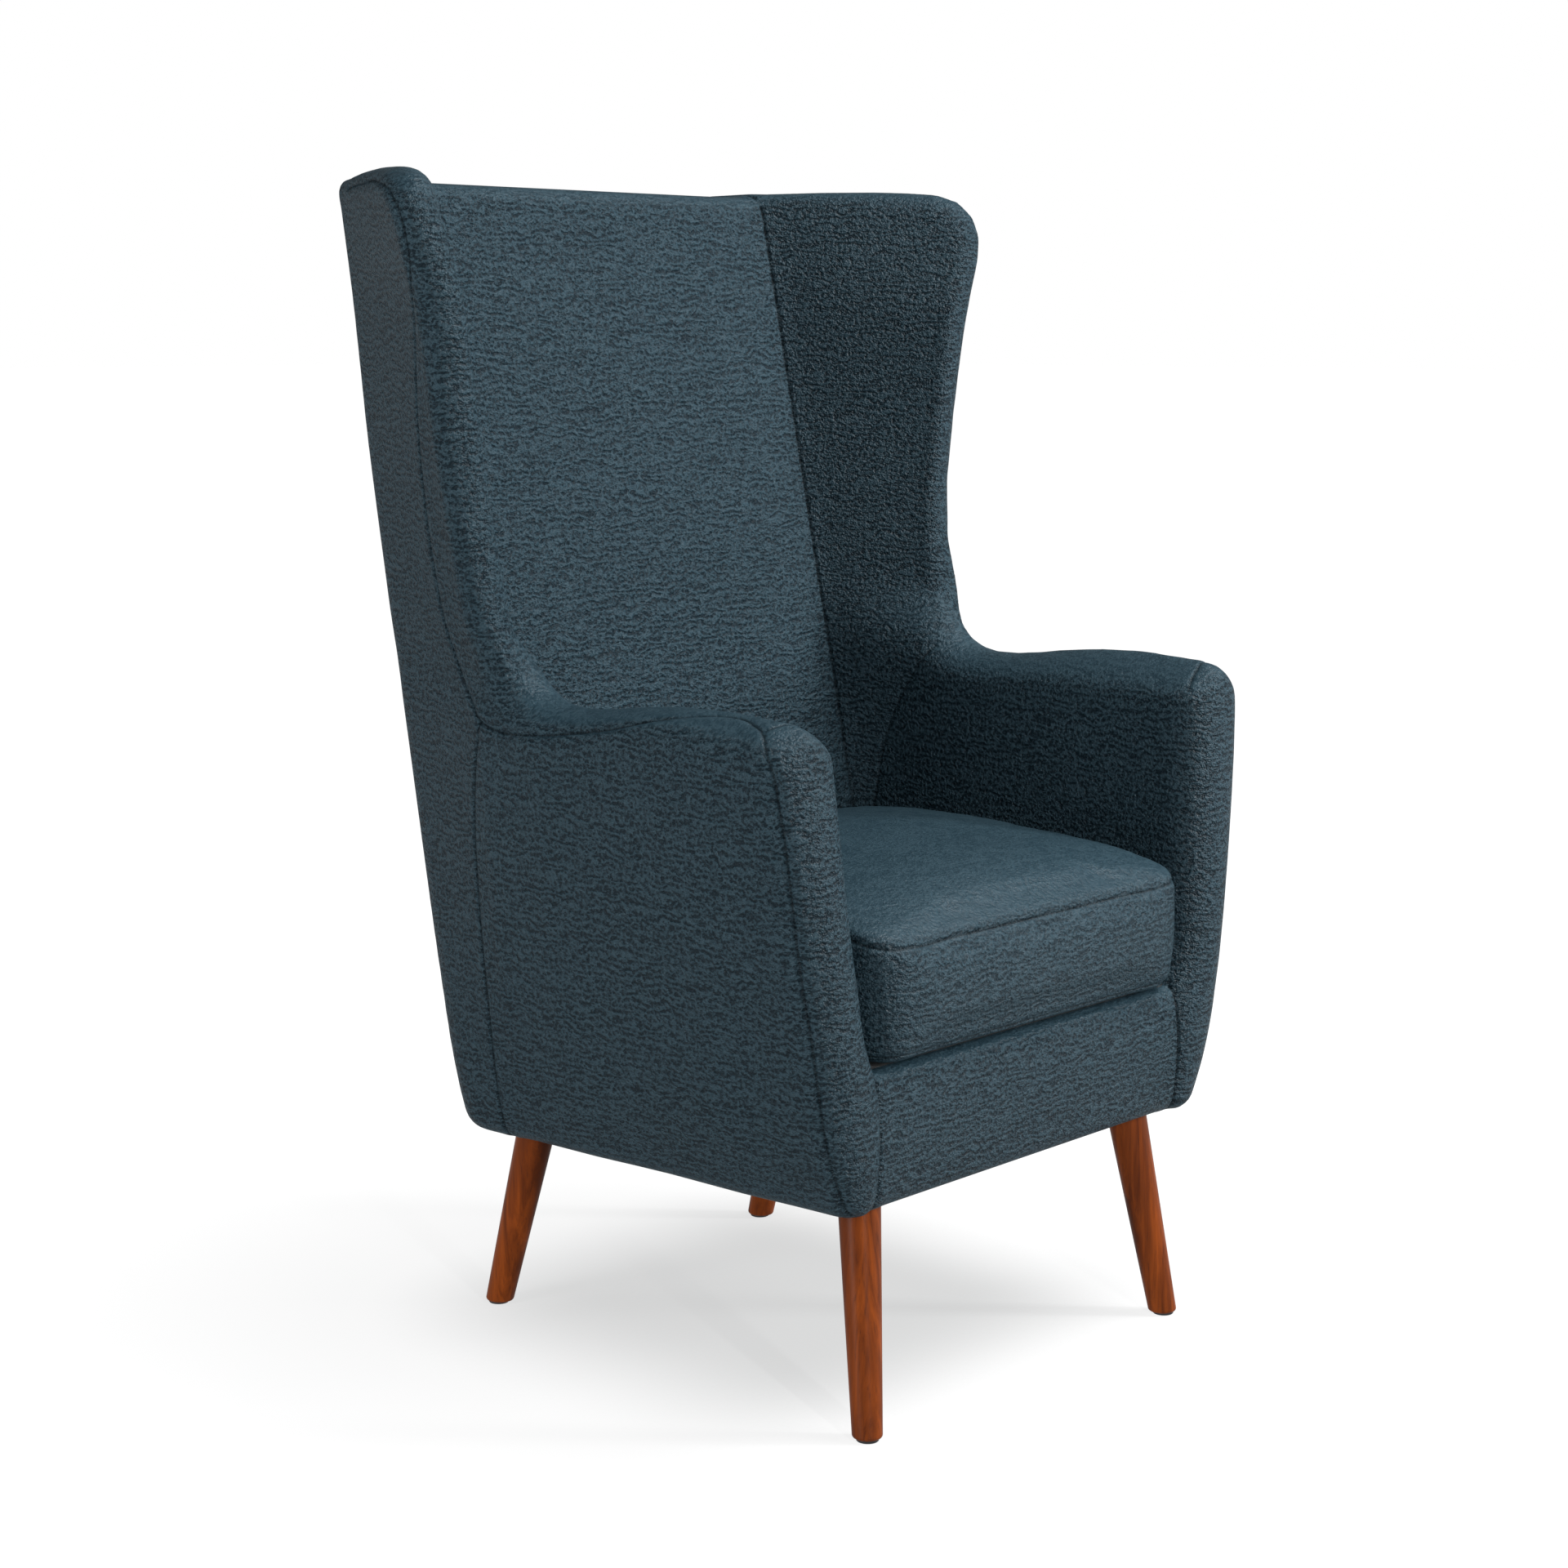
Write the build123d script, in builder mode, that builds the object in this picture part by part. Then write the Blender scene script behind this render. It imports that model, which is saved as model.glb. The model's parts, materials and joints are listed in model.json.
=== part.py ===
"""Wing-back armchair on four splayed wooden legs, with a loose zipped seat cushion.

Millimetres, +Z up. The origin is on the floor under the middle of the bounding box.
The chair faces -Y, so the sitter's left is +X.
"""

from build123d import *
from math import atan2, cos, sin
import os

# Overall
BODY_BOTTOM = 209.0
BACK_TOP = 1093.0
WING_TOP = 1100.0
BACK_HALF = 235.0  # from the middle to the seam between back and wing
ARM_REAR = 85.0  # plane where the arms end and the back's sides begin
WING_BASE = 640.0  # height where the wings start on top of the back's sides
LEAN_IN, LEAN_OUT = 0.2097, 0.1815  # back lean of the inside and outside faces
LEAN = atan2(LEAN_IN, 1)
CENTRE_Y = 13.4  # middle of the bounding box in the working frame of the numbers below

# Fabric and foam
SKIN = 1.8
FOAM_INSET = 2.4

# Wings: (height, tip centre x, tip centre y, rear corner x, shrink)
TIP_RADIUS = 22.0
REAR_CORNER_RADIUS = 42.0
WING_STATIONS = (
    (WING_BASE - 12, 311, 58, 282, 0),
    (700, 314, 85, 280, 0),
    (780, 321, 98, 277, 0),
    (880, 336, 99, 272, 0),
    (980, 356, 95, 265, 0),
    (1050, 371, 98, 262, 0),
    (1078, 374, 111, 261, 0),
    (1093, 373, 126, 261, 7),
    (WING_TOP, 368, 144, 260, 16),
)

# Sides of the back below the wings: (height, x at the arm, rear corner x, shrink)
SIDE_STATIONS = (
    (BODY_BOTTOM, 288, 278, 22),
    (222, 290, 280, 8),
    (245, 292, 281, 0),
    (350, 303, 282, 0),
    (450, 315, 282, 0),
    (560, 329, 282, 0),
    (WING_BASE, 335, 282, 0),
)

# Arms: (height, inner x, outer x at the front, front y, outer x at the rear, shrink)
ARM_CORNER = 36.0
ARM_STATIONS = (
    (BODY_BOTTOM, 228.3, 283, -310, 288, 22),
    (222, 228.3, 285, -313, 290, 8),
    (245, 228.3, 288, -315, 292, 0),
    (350, 233, 301, -315, 303, 0),
    (450, 245, 320, -313, 315, 0),
    (560, 256, 336, -301, 329, 0),
    (680, 260, 343, -290, 338, 0),
)
ARM_TOP_FRONT, ARM_TOP_DIP, ARM_TOP_REAR = 655.0, 630.0, 636.0

BACK_FOOT = 311.0  # underside of the padding above the seat rails
BACK_ROLL = 20.0  # rounding of the back's top edges

# Frame timber
TIMBER = 25.0
RAIL_BOTTOM, RAIL_TOP = 220.0, 300.0
FRONT_RAIL_Y = -288.0
SIDE_RAIL_X = 228.0
REAR_RAIL_Y = 148.0
POST_WIDTH, POST_DEPTH = 28.0, 40.0
POST_INSET = 45.0  # post centre in front of the outside back face
POST_TOP = 1035.0
ARM_RAIL_X, ARM_RAIL_BOTTOM = 273.0, 580.0
ARM_POST_Y = (-272.0, -212.0)
BLOCK_LEG, BLOCK_HEIGHT = 78.0, 40.0
PANEL = 15.0  # thickness of the wing panels
# Wing panels: (height, tip x, tip y)
PANEL_TIPS = (
    (RAIL_TOP + 20, 285, 70),
    (WING_BASE, 300, 90),
    (980, 340, 122),
    (1060, 354, 128),
)

# Legs
LEG_TOP_RADIUS, LEG_FOOT_RADIUS = 19.5, 13.5
GLIDE_HEIGHT, GLIDE_RADIUS = 2.5, 10.0
PLATE_THICKNESS, PLATE_SIZE = 3.0, 40.0
PLATE_SHIFT = 2.5  # plate centre towards the middle of the chair from the bolt
LEG_TOP = RAIL_BOTTOM - PLATE_THICKNESS
FRONT_FOOT, FRONT_SPLAY = (224.0, -293.0), (0.12, 0.155)
REAR_FOOT, REAR_SPLAY = (192.0, 217.0), (0.03, 0.28)
BOLT_RADIUS, BOLT_UP, BOLT_DOWN = 4.0, 18.0, 40.0
FEET = (
    ("front_left", FRONT_FOOT, (-FRONT_SPLAY[0], FRONT_SPLAY[1])),
    ("front_right", (-FRONT_FOOT[0], FRONT_FOOT[1]), FRONT_SPLAY),
    ("rear_left", REAR_FOOT, (-REAR_SPLAY[0], -REAR_SPLAY[1])),
    ("rear_right", (-REAR_FOOT[0], REAR_FOOT[1]), (REAR_SPLAY[0], -REAR_SPLAY[1])),
)

# Seat deck and springs
SPRING_WIRE = 1.8
SPRING_Z = 304.5
SPRING_X = (-160.0, -80.0, 0.0, 80.0, 160.0)
SPRING_FRONT, SPRING_REAR = FRONT_RAIL_Y + 14, REAR_RAIL_Y + 11
SPRING_BENDS, SPRING_REACH, SPRING_ROUND = 14, 20.0, 12.0
DECK_BOTTOM, DECK_TOP = 310.0, 328.6
BORDER_HALF = 225.0
BORDER_FRONT = -300.0

# Dust cover under the seat
DUST_COVER_TOP, DUST_COVER_THICKNESS = BODY_BOTTOM - 0.4, 1.2
DUST_COVER = ((-258, -290), (258, -290), (256, 160), (-256, 160))

# Seat cushion
CUSHION_HALF = 230.0
CUSHION_FRONT = -314.0
CUSHION_BOTTOM = 330.0
CUSHION_CORNER = 34.0
CUSHION_GAP = 14.0  # behind the zip
# (height, shrink, gap to the inside back)
CUSHION_STATIONS = (
    (CUSHION_BOTTOM, 8, CUSHION_GAP),
    (338, 2, CUSHION_GAP),
    (424, 0, CUSHION_GAP),
    (440, 0, 4),
    (456, 10, 3),
    (474, 38, 3),
    (487, 92, 3),
)

# Zip in the back of the cushion, measured out from the leaning back face
ZIP_Z = 386.0
ZIP_HALF = 190.0
TAPE_HEIGHT, TAPE_THICKNESS = 26.0, 0.8
COIL_HEIGHT, COIL_TOP = 5.0, 2.4
STOP_LENGTH = 3.0
SLIDER_X, SLIDER_LENGTH, SLIDER_HEIGHT = 178.0, 9.0, 10.0
SLIDER_LOW, SLIDER_MID, SLIDER_HIGH = 1.1, 2.7, 4.0
EAR_INSIDE, EAR_WIDTH = 2.6, 0.9
PIN_OUT, PIN_RADIUS = 5.6, 0.6
TAB_LENGTH, TAB_WIDTH, TAB_THICKNESS = 20.0, 4.6, 1.2
TAB_RING, TAB_HOLE = 1.5, 0.7

# Seams of the cover on the outside of an arm, as (y, z)
ARM_SEAM = ((-284, 400), (-268, 575), (-222, 637), (-150, 640), (0, 606), (ARM_REAR, 590))


def inside_y(z):
    """Inside face of the back at a height."""
    return 122 + LEAN_IN * (z - 470)


def outside_y(z):
    """Outside face of the back at a height."""
    return 194 + LEAN_OUT * (z - 264)


def write(part, name):
    """Centres a finished piece front to back, labels it and writes its STEP file."""
    centred = part.moved(Location((0, -CENTRE_Y, 0)))
    centred.label = name
    export_step(centred, f"parts/{name}.step")


def write_pair(part, name):
    """Writes a piece made on the +X side and its mirror image."""
    write(part, f"left_{name}")
    write(mirror(part, about=Plane.YZ), f"right_{name}")


def plan_section(z, points, round_front, round_rear, amount):
    """A closed section at a height, moved in by amount, rounded in front and at the rear corner."""
    with BuildSketch(Plane.XY.offset(z)) as section:
        with BuildLine():
            Polyline(*points, close=True)
        make_face()
        if amount:
            offset(amount=-amount, kind=Kind.INTERSECTION, mode=Mode.REPLACE)
        if round_front:
            fillet(section.vertices().sort_by(Axis.Y)[:2], max(round_front - amount, 1))
        if round_rear:
            rear = section.vertices().sort_by(Axis.Y)[-2:].sort_by(Axis.X)[-1]
            fillet(rear, max(round_rear - amount, 1))
    return section.sketch


def wing_block(inset):
    """One wing, from its base up, with every outer face moved in by inset."""
    sections = []
    for z, tip_x, tip_y, corner_x, shrink in WING_STATIONS:
        flare = atan2(tip_x - BACK_HALF, (inside_y(z) + outside_y(z)) / 2 - tip_y)
        along = Vector(sin(flare), -cos(flare)) * TIP_RADIUS
        across = Vector(cos(flare), sin(flare)) * TIP_RADIUS
        tip = Vector(tip_x, tip_y)
        outline = (
            (BACK_HALF - 60, inside_y(z)),
            (BACK_HALF, inside_y(z)),
            tip + along - across,
            tip + along + across,
            (corner_x, outside_y(z)),
            (BACK_HALF - 60, outside_y(z)),
        )
        sections.append(
            plan_section(z, outline, TIP_RADIUS - 0.5, REAR_CORNER_RADIUS, shrink + inset)
        )
    with BuildPart() as block:
        loft(sections, ruled=True)
        split(bisect_by=Plane.YZ.offset(BACK_HALF), keep=Keep.TOP)
        split(bisect_by=Plane.XY.offset(WING_BASE), keep=Keep.TOP)
        if inset:
            split(bisect_by=Plane.XY.offset(WING_TOP - inset), keep=Keep.BOTTOM)
    return block.part


def side_block(inset):
    """One side of the back, behind the arm and under the wing."""
    sections = []
    for z, arm_x, corner_x, shrink in SIDE_STATIONS:
        outline = (
            (BACK_HALF - 60, ARM_REAR - 60),
            (arm_x, ARM_REAR - 60),
            (arm_x - 4, ARM_REAR + 30),
            (corner_x, outside_y(z)),
            (BACK_HALF - 60, outside_y(z)),
        )
        sections.append(plan_section(z, outline, 0, REAR_CORNER_RADIUS, shrink + inset))
    with BuildPart() as block:
        loft(sections, ruled=True)
        split(bisect_by=Plane.YZ.offset(BACK_HALF), keep=Keep.TOP)
        split(bisect_by=Plane.XZ.offset(-ARM_REAR), keep=Keep.BOTTOM)
        if inset:
            split(bisect_by=Plane.XY.offset(BODY_BOTTOM + inset), keep=Keep.TOP)
    return block.part


def arm_block(inset):
    """One arm: tapering plan sections cut by the arm's side outline."""
    sections = []
    for z, inner, front_outer, front_y, rear_outer, shrink in ARM_STATIONS:
        outline = (
            (inner - shrink, ARM_REAR + 60),
            (inner - shrink, front_y),
            (front_outer, front_y),
            (rear_outer, ARM_REAR + 60),
        )
        corner = min(ARM_CORNER, (front_outer - inner) / 2 - 1)
        sections.append(plan_section(z, outline, corner, 0, shrink + inset))
    with BuildPart() as block:
        loft(sections, ruled=True)
        with BuildSketch(Plane.YZ.offset(BACK_HALF - 60)):
            with BuildLine():
                low = BODY_BOTTOM + inset
                top = Spline(
                    (ARM_REAR + 80, ARM_TOP_REAR - inset),
                    (-30, ARM_TOP_DIP - inset),
                    (-215, ARM_TOP_FRONT - inset),
                    tangents=((-1, -0.3), (-1, 0.02)),
                )
                rise = Spline(
                    top @ 1,
                    (-262, ARM_TOP_FRONT - 14 - inset),
                    (-292 + inset, ARM_TOP_FRONT - 62),
                    tangents=((-1, 0), (-0.1, -1)),
                )
                Polyline(rise @ 1, (-340, 500), (-340, low), (ARM_REAR + 80, low), top @ 0)
            make_face()
        extrude(amount=200, mode=Mode.INTERSECT)
        split(bisect_by=Plane.XZ.offset(-ARM_REAR), keep=Keep.TOP)
    return block.part


def back_block(inset):
    """The flat middle of the back, with the pad behind the rear seat rail."""
    top = BACK_TOP - inset
    with BuildPart() as block:
        with BuildSketch(Plane.YZ.offset(-BACK_HALF)):
            with BuildLine():
                Polyline(
                    (inside_y(BACK_FOOT) + inset, BACK_FOOT),
                    (inside_y(top) + inset, top),
                    (outside_y(top) - inset, top),
                    (outside_y(BODY_BOTTOM + 12) - inset, BODY_BOTTOM + 12),
                    (outside_y(BODY_BOTTOM) - 2 - inset, BODY_BOTTOM + inset),
                    (REAR_RAIL_Y + TIMBER + 2.5, BODY_BOTTOM + inset),
                    (REAR_RAIL_Y + TIMBER + 0.5, RAIL_BOTTOM),
                    (REAR_RAIL_Y + TIMBER + 0.5, BACK_FOOT),
                    close=True,
                )
            make_face()
            fillet(vertices().group_by(Axis.Y)[-1], BACK_ROLL - inset)
        extrude(amount=2 * BACK_HALF)
    return block.part


def skin_of(maker):
    """The thin cover over one block of padding."""
    with BuildPart() as skin:
        add(maker(0))
        add(maker(SKIN), mode=Mode.SUBTRACT)
    return skin.part


def padding_of(maker, *timber):
    """The padding of one block, with room for the frame inside it."""
    with BuildPart() as padding:
        add(maker(FOAM_INSET))
        for member in timber:
            add(member, mode=Mode.SUBTRACT)
    return padding.part


def leaning_member(y_low, z_low, y_high, z_high, depth, x_from, width):
    """A straight member leaning with the back, cut level at both ends."""
    with BuildPart() as member:
        with BuildSketch(Plane.YZ.offset(x_from)):
            with BuildLine():
                Polyline(
                    (y_low - depth / 2, z_low),
                    (y_low + depth / 2, z_low),
                    (y_high + depth / 2, z_high),
                    (y_high - depth / 2, z_high),
                    close=True,
                )
            make_face()
        extrude(amount=width)
    return member.part


def block_between(low, high):
    """A plain box from its lowest to its highest corner."""
    size = [b - a for a, b in zip(low, high)]
    with BuildPart() as box:
        with Locations(low):
            Box(*size, align=(Align.MIN, Align.MIN, Align.MIN))
    return box.part


def post_y(z):
    """Middle of a back post at a height."""
    return outside_y(z) - POST_INSET


def leg_point(foot, splay, z):
    """Where a leg's centre line passes a height."""
    return (foot[0] + splay[0] * z, foot[1] + splay[1] * z, z)


def leg_plane(foot, splay, z):
    """A plane square to a leg's centre line at a height."""
    return Plane(origin=leg_point(foot, splay, z), x_dir=(1, 0, -splay[0]), z_dir=(*splay, 1))


def cylinder_along(foot, splay, z, radius, down, up):
    """A round bar on a leg's centre line, reaching down and up from a height."""
    with BuildPart() as bar:
        with BuildSketch(leg_plane(foot, splay, z).offset(-down)):
            Circle(radius)
        extrude(amount=down + up)
    return bar.part


os.makedirs("parts", exist_ok=True)

# Seat frame
side_rail = block_between(
    (SIDE_RAIL_X, FRONT_RAIL_Y, RAIL_BOTTOM),
    (SIDE_RAIL_X + TIMBER, REAR_RAIL_Y + TIMBER, RAIL_TOP),
)
write_pair(side_rail, "seat_rail")

bolt_rooms = [
    cylinder_along(foot, splay, RAIL_BOTTOM, BOLT_RADIUS + 1, 6, BOLT_UP + 4)
    for _, foot, splay in FEET
]
with BuildPart() as front_rail:
    add(
        block_between(
            (-SIDE_RAIL_X, FRONT_RAIL_Y, RAIL_BOTTOM),
            (SIDE_RAIL_X, FRONT_RAIL_Y + TIMBER, RAIL_TOP),
        )
    )
    add(bolt_rooms, mode=Mode.SUBTRACT)
write(front_rail.part, "front_seat_rail")

with BuildPart() as rear_rail:
    add(
        block_between(
            (POST_WIDTH - SIDE_RAIL_X, REAR_RAIL_Y, RAIL_BOTTOM),
            (SIDE_RAIL_X - POST_WIDTH, REAR_RAIL_Y + TIMBER, RAIL_TOP),
        )
    )
    add(bolt_rooms, mode=Mode.SUBTRACT)
write(rear_rail.part, "rear_seat_rail")

with BuildPart() as corner_blocks:
    for x, y, inward in (
        (SIDE_RAIL_X, FRONT_RAIL_Y + TIMBER, 1),
        (SIDE_RAIL_X - POST_WIDTH, REAR_RAIL_Y, -1),
    ):
        for side in (1, -1):
            with BuildSketch(Plane.XY.offset(RAIL_BOTTOM)):
                with BuildLine():
                    Polyline(
                        (side * x, y),
                        (side * (x - BLOCK_LEG), y),
                        (side * x, y + inward * BLOCK_LEG),
                        close=True,
                    )
                make_face()
            extrude(amount=BLOCK_HEIGHT)
    add(bolt_rooms, mode=Mode.SUBTRACT)
write(corner_blocks.part, "corner_blocks")

# Back frame
back_post = leaning_member(
    post_y(RAIL_BOTTOM), RAIL_BOTTOM, post_y(POST_TOP), POST_TOP,
    POST_DEPTH, SIDE_RAIL_X - POST_WIDTH, POST_WIDTH,
)
write_pair(back_post, "back_post")

cross_rails = []
for name, z_low, z_high, half in (
    ("back_tacking_rail", 330, 370, SIDE_RAIL_X - POST_WIDTH),
    ("back_lumbar_rail", 610, 650, SIDE_RAIL_X - POST_WIDTH),
    ("back_top_rail", POST_TOP, POST_TOP + 35, SIDE_RAIL_X),
):
    cross_rail = leaning_member(
        post_y(z_low), z_low, post_y(z_high), z_high, POST_DEPTH - 12, -half, 2 * half
    )
    cross_rails.append(cross_rail)
    write(cross_rail, name)

with BuildPart() as back_webbing:
    for z in (430, 500, 570, 720, 800, 880, 960):
        add(
            leaning_member(
                post_y(z) - 17, z, post_y(z + 50) - 17, z + 50, 2.4,
                POST_WIDTH - SIDE_RAIL_X, 2 * (SIDE_RAIL_X - POST_WIDTH),
            )
        )
write(back_webbing.part, "back_webbing")

# Wing panels: plywood on the outside of the posts, following the middle of each wing
panel_sections = []
for z, tip_x, tip_y in PANEL_TIPS:
    root_y = post_y(z)
    flare = atan2(tip_x - SIDE_RAIL_X, root_y - tip_y)
    across = Vector(cos(flare), sin(flare)) * PANEL / 2
    root, tip = Vector(BACK_HALF - 15, root_y), Vector(tip_x, tip_y)
    with BuildSketch(Plane.XY.offset(z)) as panel_section:
        with BuildLine():
            Polyline(root - across, tip - across, tip + across, root + across, close=True)
        make_face()
    panel_sections.append(panel_section.sketch)
with BuildPart() as wing_panel:
    loft(panel_sections, ruled=True)
    split(bisect_by=Plane.YZ.offset(SIDE_RAIL_X + 8), keep=Keep.TOP)
    split(bisect_by=Plane.XZ.offset(-ARM_REAR - 6), keep=Keep.BOTTOM)
write_pair(wing_panel.part, "wing_panel")

# Arm frames
def arm_post(y_low, y_high):
    """An upright of the arm frame: on the side rail's outside, then leaning outwards."""
    rail_x = SIDE_RAIL_X + TIMBER
    with BuildPart() as post:
        with BuildSketch(Plane.XZ.offset(-y_low)):
            with BuildLine():
                Polyline(
                    (rail_x, RAIL_TOP - 50),
                    (rail_x + TIMBER, RAIL_TOP - 50),
                    (rail_x + TIMBER, RAIL_TOP + 12),
                    (ARM_RAIL_X + TIMBER, ARM_RAIL_BOTTOM),
                    (ARM_RAIL_X, ARM_RAIL_BOTTOM),
                    (rail_x, RAIL_TOP + 12),
                    close=True,
                )
            make_face()
        extrude(amount=y_low - y_high)
    return post.part


front_arm_post = arm_post(*ARM_POST_Y)
rear_arm_post = arm_post(ARM_REAR - 46, ARM_REAR - 6)
arm_rail = block_between(
    (ARM_RAIL_X, ARM_POST_Y[0], ARM_RAIL_BOTTOM),
    (ARM_RAIL_X + TIMBER, ARM_REAR - 6, ARM_RAIL_BOTTOM + TIMBER),
)
write_pair(front_arm_post, "arm_front_post")
write_pair(rear_arm_post, "arm_rear_post")
write_pair(arm_rail, "arm_rail")

# Padding
leg_rooms = [
    cylinder_along(foot, splay, LEG_TOP, LEG_TOP_RADIUS + 0.6, 40, 10) for _, foot, splay in FEET
]
mirrored_post = mirror(back_post, about=Plane.YZ)
inside_timber = (back_post, mirrored_post, *cross_rails, back_webbing.part, *leg_rooms)
write(padding_of(back_block, *inside_timber), "back_padding")
write_pair(padding_of(wing_block, wing_panel.part), "wing_padding")
write_pair(padding_of(side_block, wing_panel.part, side_rail), "back_side_padding")
write_pair(
    padding_of(arm_block, side_rail, front_arm_post, rear_arm_post, arm_rail), "arm_padding"
)

# Legs with their bolts, plates and glides
with BuildPart() as leg_bolts:
    for _, foot, splay in FEET:
        add(cylinder_along(foot, splay, RAIL_BOTTOM, BOLT_RADIUS - 0.1, BOLT_DOWN, BOLT_UP))
write(leg_bolts.part, "leg_bolts")

with BuildPart() as leg_plates:
    for _, foot, splay in FEET:
        x, y, _ = leg_point(foot, splay, RAIL_BOTTOM)
        inward = PLATE_SHIFT if y < 0 else -PLATE_SHIFT
        with BuildSketch(Plane.XY.offset(RAIL_BOTTOM - PLATE_THICKNESS)):
            with Locations((x, y + inward)):
                RectangleRounded(PLATE_SIZE, PLATE_SIZE, 6)
        extrude(amount=PLATE_THICKNESS)
    add(bolt_rooms, mode=Mode.SUBTRACT)
write(leg_plates.part, "leg_plates")

with BuildPart() as glides:
    for _, foot, splay in FEET:
        with BuildSketch(Plane.XY):
            with Locations(foot):
                Circle(GLIDE_RADIUS)
        extrude(amount=GLIDE_HEIGHT)
    chamfer(glides.edges().group_by(Axis.Z)[0], 0.6)
write(glides.part, "floor_glides")

for name, foot, splay in FEET:
    with BuildPart() as leg:
        with BuildSketch(leg_plane(foot, splay, -10)):
            Circle(LEG_FOOT_RADIUS - 10 * (LEG_TOP_RADIUS - LEG_FOOT_RADIUS) / LEG_TOP)
        with BuildSketch(leg_plane(foot, splay, LEG_TOP + 10)):
            Circle(LEG_TOP_RADIUS + 10 * (LEG_TOP_RADIUS - LEG_FOOT_RADIUS) / LEG_TOP)
        loft()
        split(bisect_by=Plane.XY.offset(GLIDE_HEIGHT), keep=Keep.TOP)
        split(bisect_by=Plane.XY.offset(LEG_TOP), keep=Keep.BOTTOM)
        fillet(leg.edges().group_by(Axis.Z)[0], 3)
        add(
            cylinder_along(foot, splay, RAIL_BOTTOM, BOLT_RADIUS, BOLT_DOWN + 1, BOLT_UP),
            mode=Mode.SUBTRACT,
        )
    write(leg.part, f"{name}_leg")

# Springs, clips and seat deck
pitch = (SPRING_REAR - SPRING_FRONT) / SPRING_BENDS
with BuildPart() as seat_springs:
    for x in SPRING_X:
        route = []
        for bend in range(SPRING_BENDS + 1):
            side = 1 if bend % 2 else -1
            y = SPRING_FRONT + bend * pitch
            route.append((x + side * SPRING_REACH, y, SPRING_Z))
            route.append((x - side * SPRING_REACH, y, SPRING_Z))
        with BuildLine() as wire:
            FilletPolyline(*route, radius=SPRING_ROUND)
        with BuildSketch(Plane(origin=wire.line @ 0, z_dir=wire.line % 0)):
            Circle(SPRING_WIRE)
        sweep(path=wire.line)
write(seat_springs.part, "seat_springs")

with BuildPart() as spring_clips:
    for x in SPRING_X:
        for y in (SPRING_FRONT, SPRING_REAR):
            with BuildSketch(Plane.YZ.offset(x - 9)):
                with Locations((y, RAIL_TOP + 4.6)):
                    RectangleRounded(14, 9.2, 1.5)
                    Circle(SPRING_WIRE + 0.3, mode=Mode.SUBTRACT)
            extrude(amount=18)
write(spring_clips.part, "spring_clips")

with BuildPart() as deck:
    with BuildSketch(Plane.XY.offset(DECK_BOTTOM)):
        with Locations((0, (FRONT_RAIL_Y + 2 + inside_y(DECK_BOTTOM) - 2) / 2)):
            Rectangle(2 * BORDER_HALF - 1, inside_y(DECK_BOTTOM) - FRONT_RAIL_Y - 4)
    extrude(amount=DECK_TOP - SKIN - 0.4 - DECK_BOTTOM)
write(deck.part, "seat_deck_pad")

with BuildPart() as deck_cover:
    add(
        block_between(
            (-BORDER_HALF, FRONT_RAIL_Y + 1, DECK_TOP - SKIN),
            (BORDER_HALF, inside_y(DECK_TOP) - 3, DECK_TOP),
        )
    )
write(deck_cover.part, "seat_deck_cover")


def border_profile(inset):
    """Padding of the front border seen from the side, outer faces moved in by inset."""
    with BuildSketch(Plane.YZ.offset(-BORDER_HALF)) as profile:
        with BuildLine():
            Polyline(
                (FRONT_RAIL_Y - 0.3, BODY_BOTTOM + inset),
                (FRONT_RAIL_Y - 0.3, DECK_TOP - inset),
                (BORDER_FRONT + inset + 3, DECK_TOP - inset),
                (BORDER_FRONT + inset, DECK_TOP - 12),
                (BORDER_FRONT + inset - 4, BODY_BOTTOM + 26),
                (BORDER_FRONT + inset + 6, BODY_BOTTOM + inset),
                close=True,
            )
        make_face()
    return profile.sketch


with BuildPart() as border_pad:
    extrude(border_profile(FOAM_INSET), amount=2 * BORDER_HALF)
write(border_pad.part, "front_border_padding")

with BuildPart() as border_cover:
    extrude(border_profile(0), amount=2 * BORDER_HALF)
    extrude(border_profile(SKIN), amount=2 * BORDER_HALF, mode=Mode.SUBTRACT)
write(border_cover.part, "front_border_cover")

# Covers. Everything behind this wedge-shaped region's front is the outside back cover.
region_sections = []
for z, seam_x, seam_y in (
    (BODY_BOTTOM - 5, 270, ARM_REAR - 1),
    (WING_BASE - 1, 270, ARM_REAR - 1),
    (WING_BASE, 300, 74),
    (780, 319, 113),
    (980, 352, 111),
    (1072, 369, 124),
):
    back_line = outside_y(z) - 24
    with BuildSketch(Plane.XY.offset(z)) as region_section:
        with BuildLine():
            Polyline(
                (-seam_x, seam_y), (-500, seam_y), (-500, 500), (500, 500),
                (500, seam_y), (seam_x, seam_y), (BACK_HALF, back_line), (-BACK_HALF, back_line),
                close=True,
            )
        make_face()
    region_sections.append(region_section.sketch)
with BuildPart() as outside_region:
    loft(region_sections, ruled=True)
    add(block_between((-500, outside_y(1071) - 24, 1071), (500, 500, BACK_TOP - 6)))

back_skin, wing_skin, side_skin, arm_skin = (
    skin_of(maker) for maker in (back_block, wing_block, side_block, arm_block)
)
with BuildPart() as outside_back:
    add(back_skin)
    for skin in (wing_skin, side_skin):
        add(skin)
        add(mirror(skin, about=Plane.YZ))
    add(outside_region.part, mode=Mode.INTERSECT)
    add([side_rail, mirror(side_rail, about=Plane.YZ), *leg_rooms], mode=Mode.SUBTRACT)
write(outside_back.part, "outside_back_cover")

with BuildPart() as inside_back:
    add(back_skin)
    add(outside_region.part, mode=Mode.SUBTRACT)
write(inside_back.part, "inside_back_cover")

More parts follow.
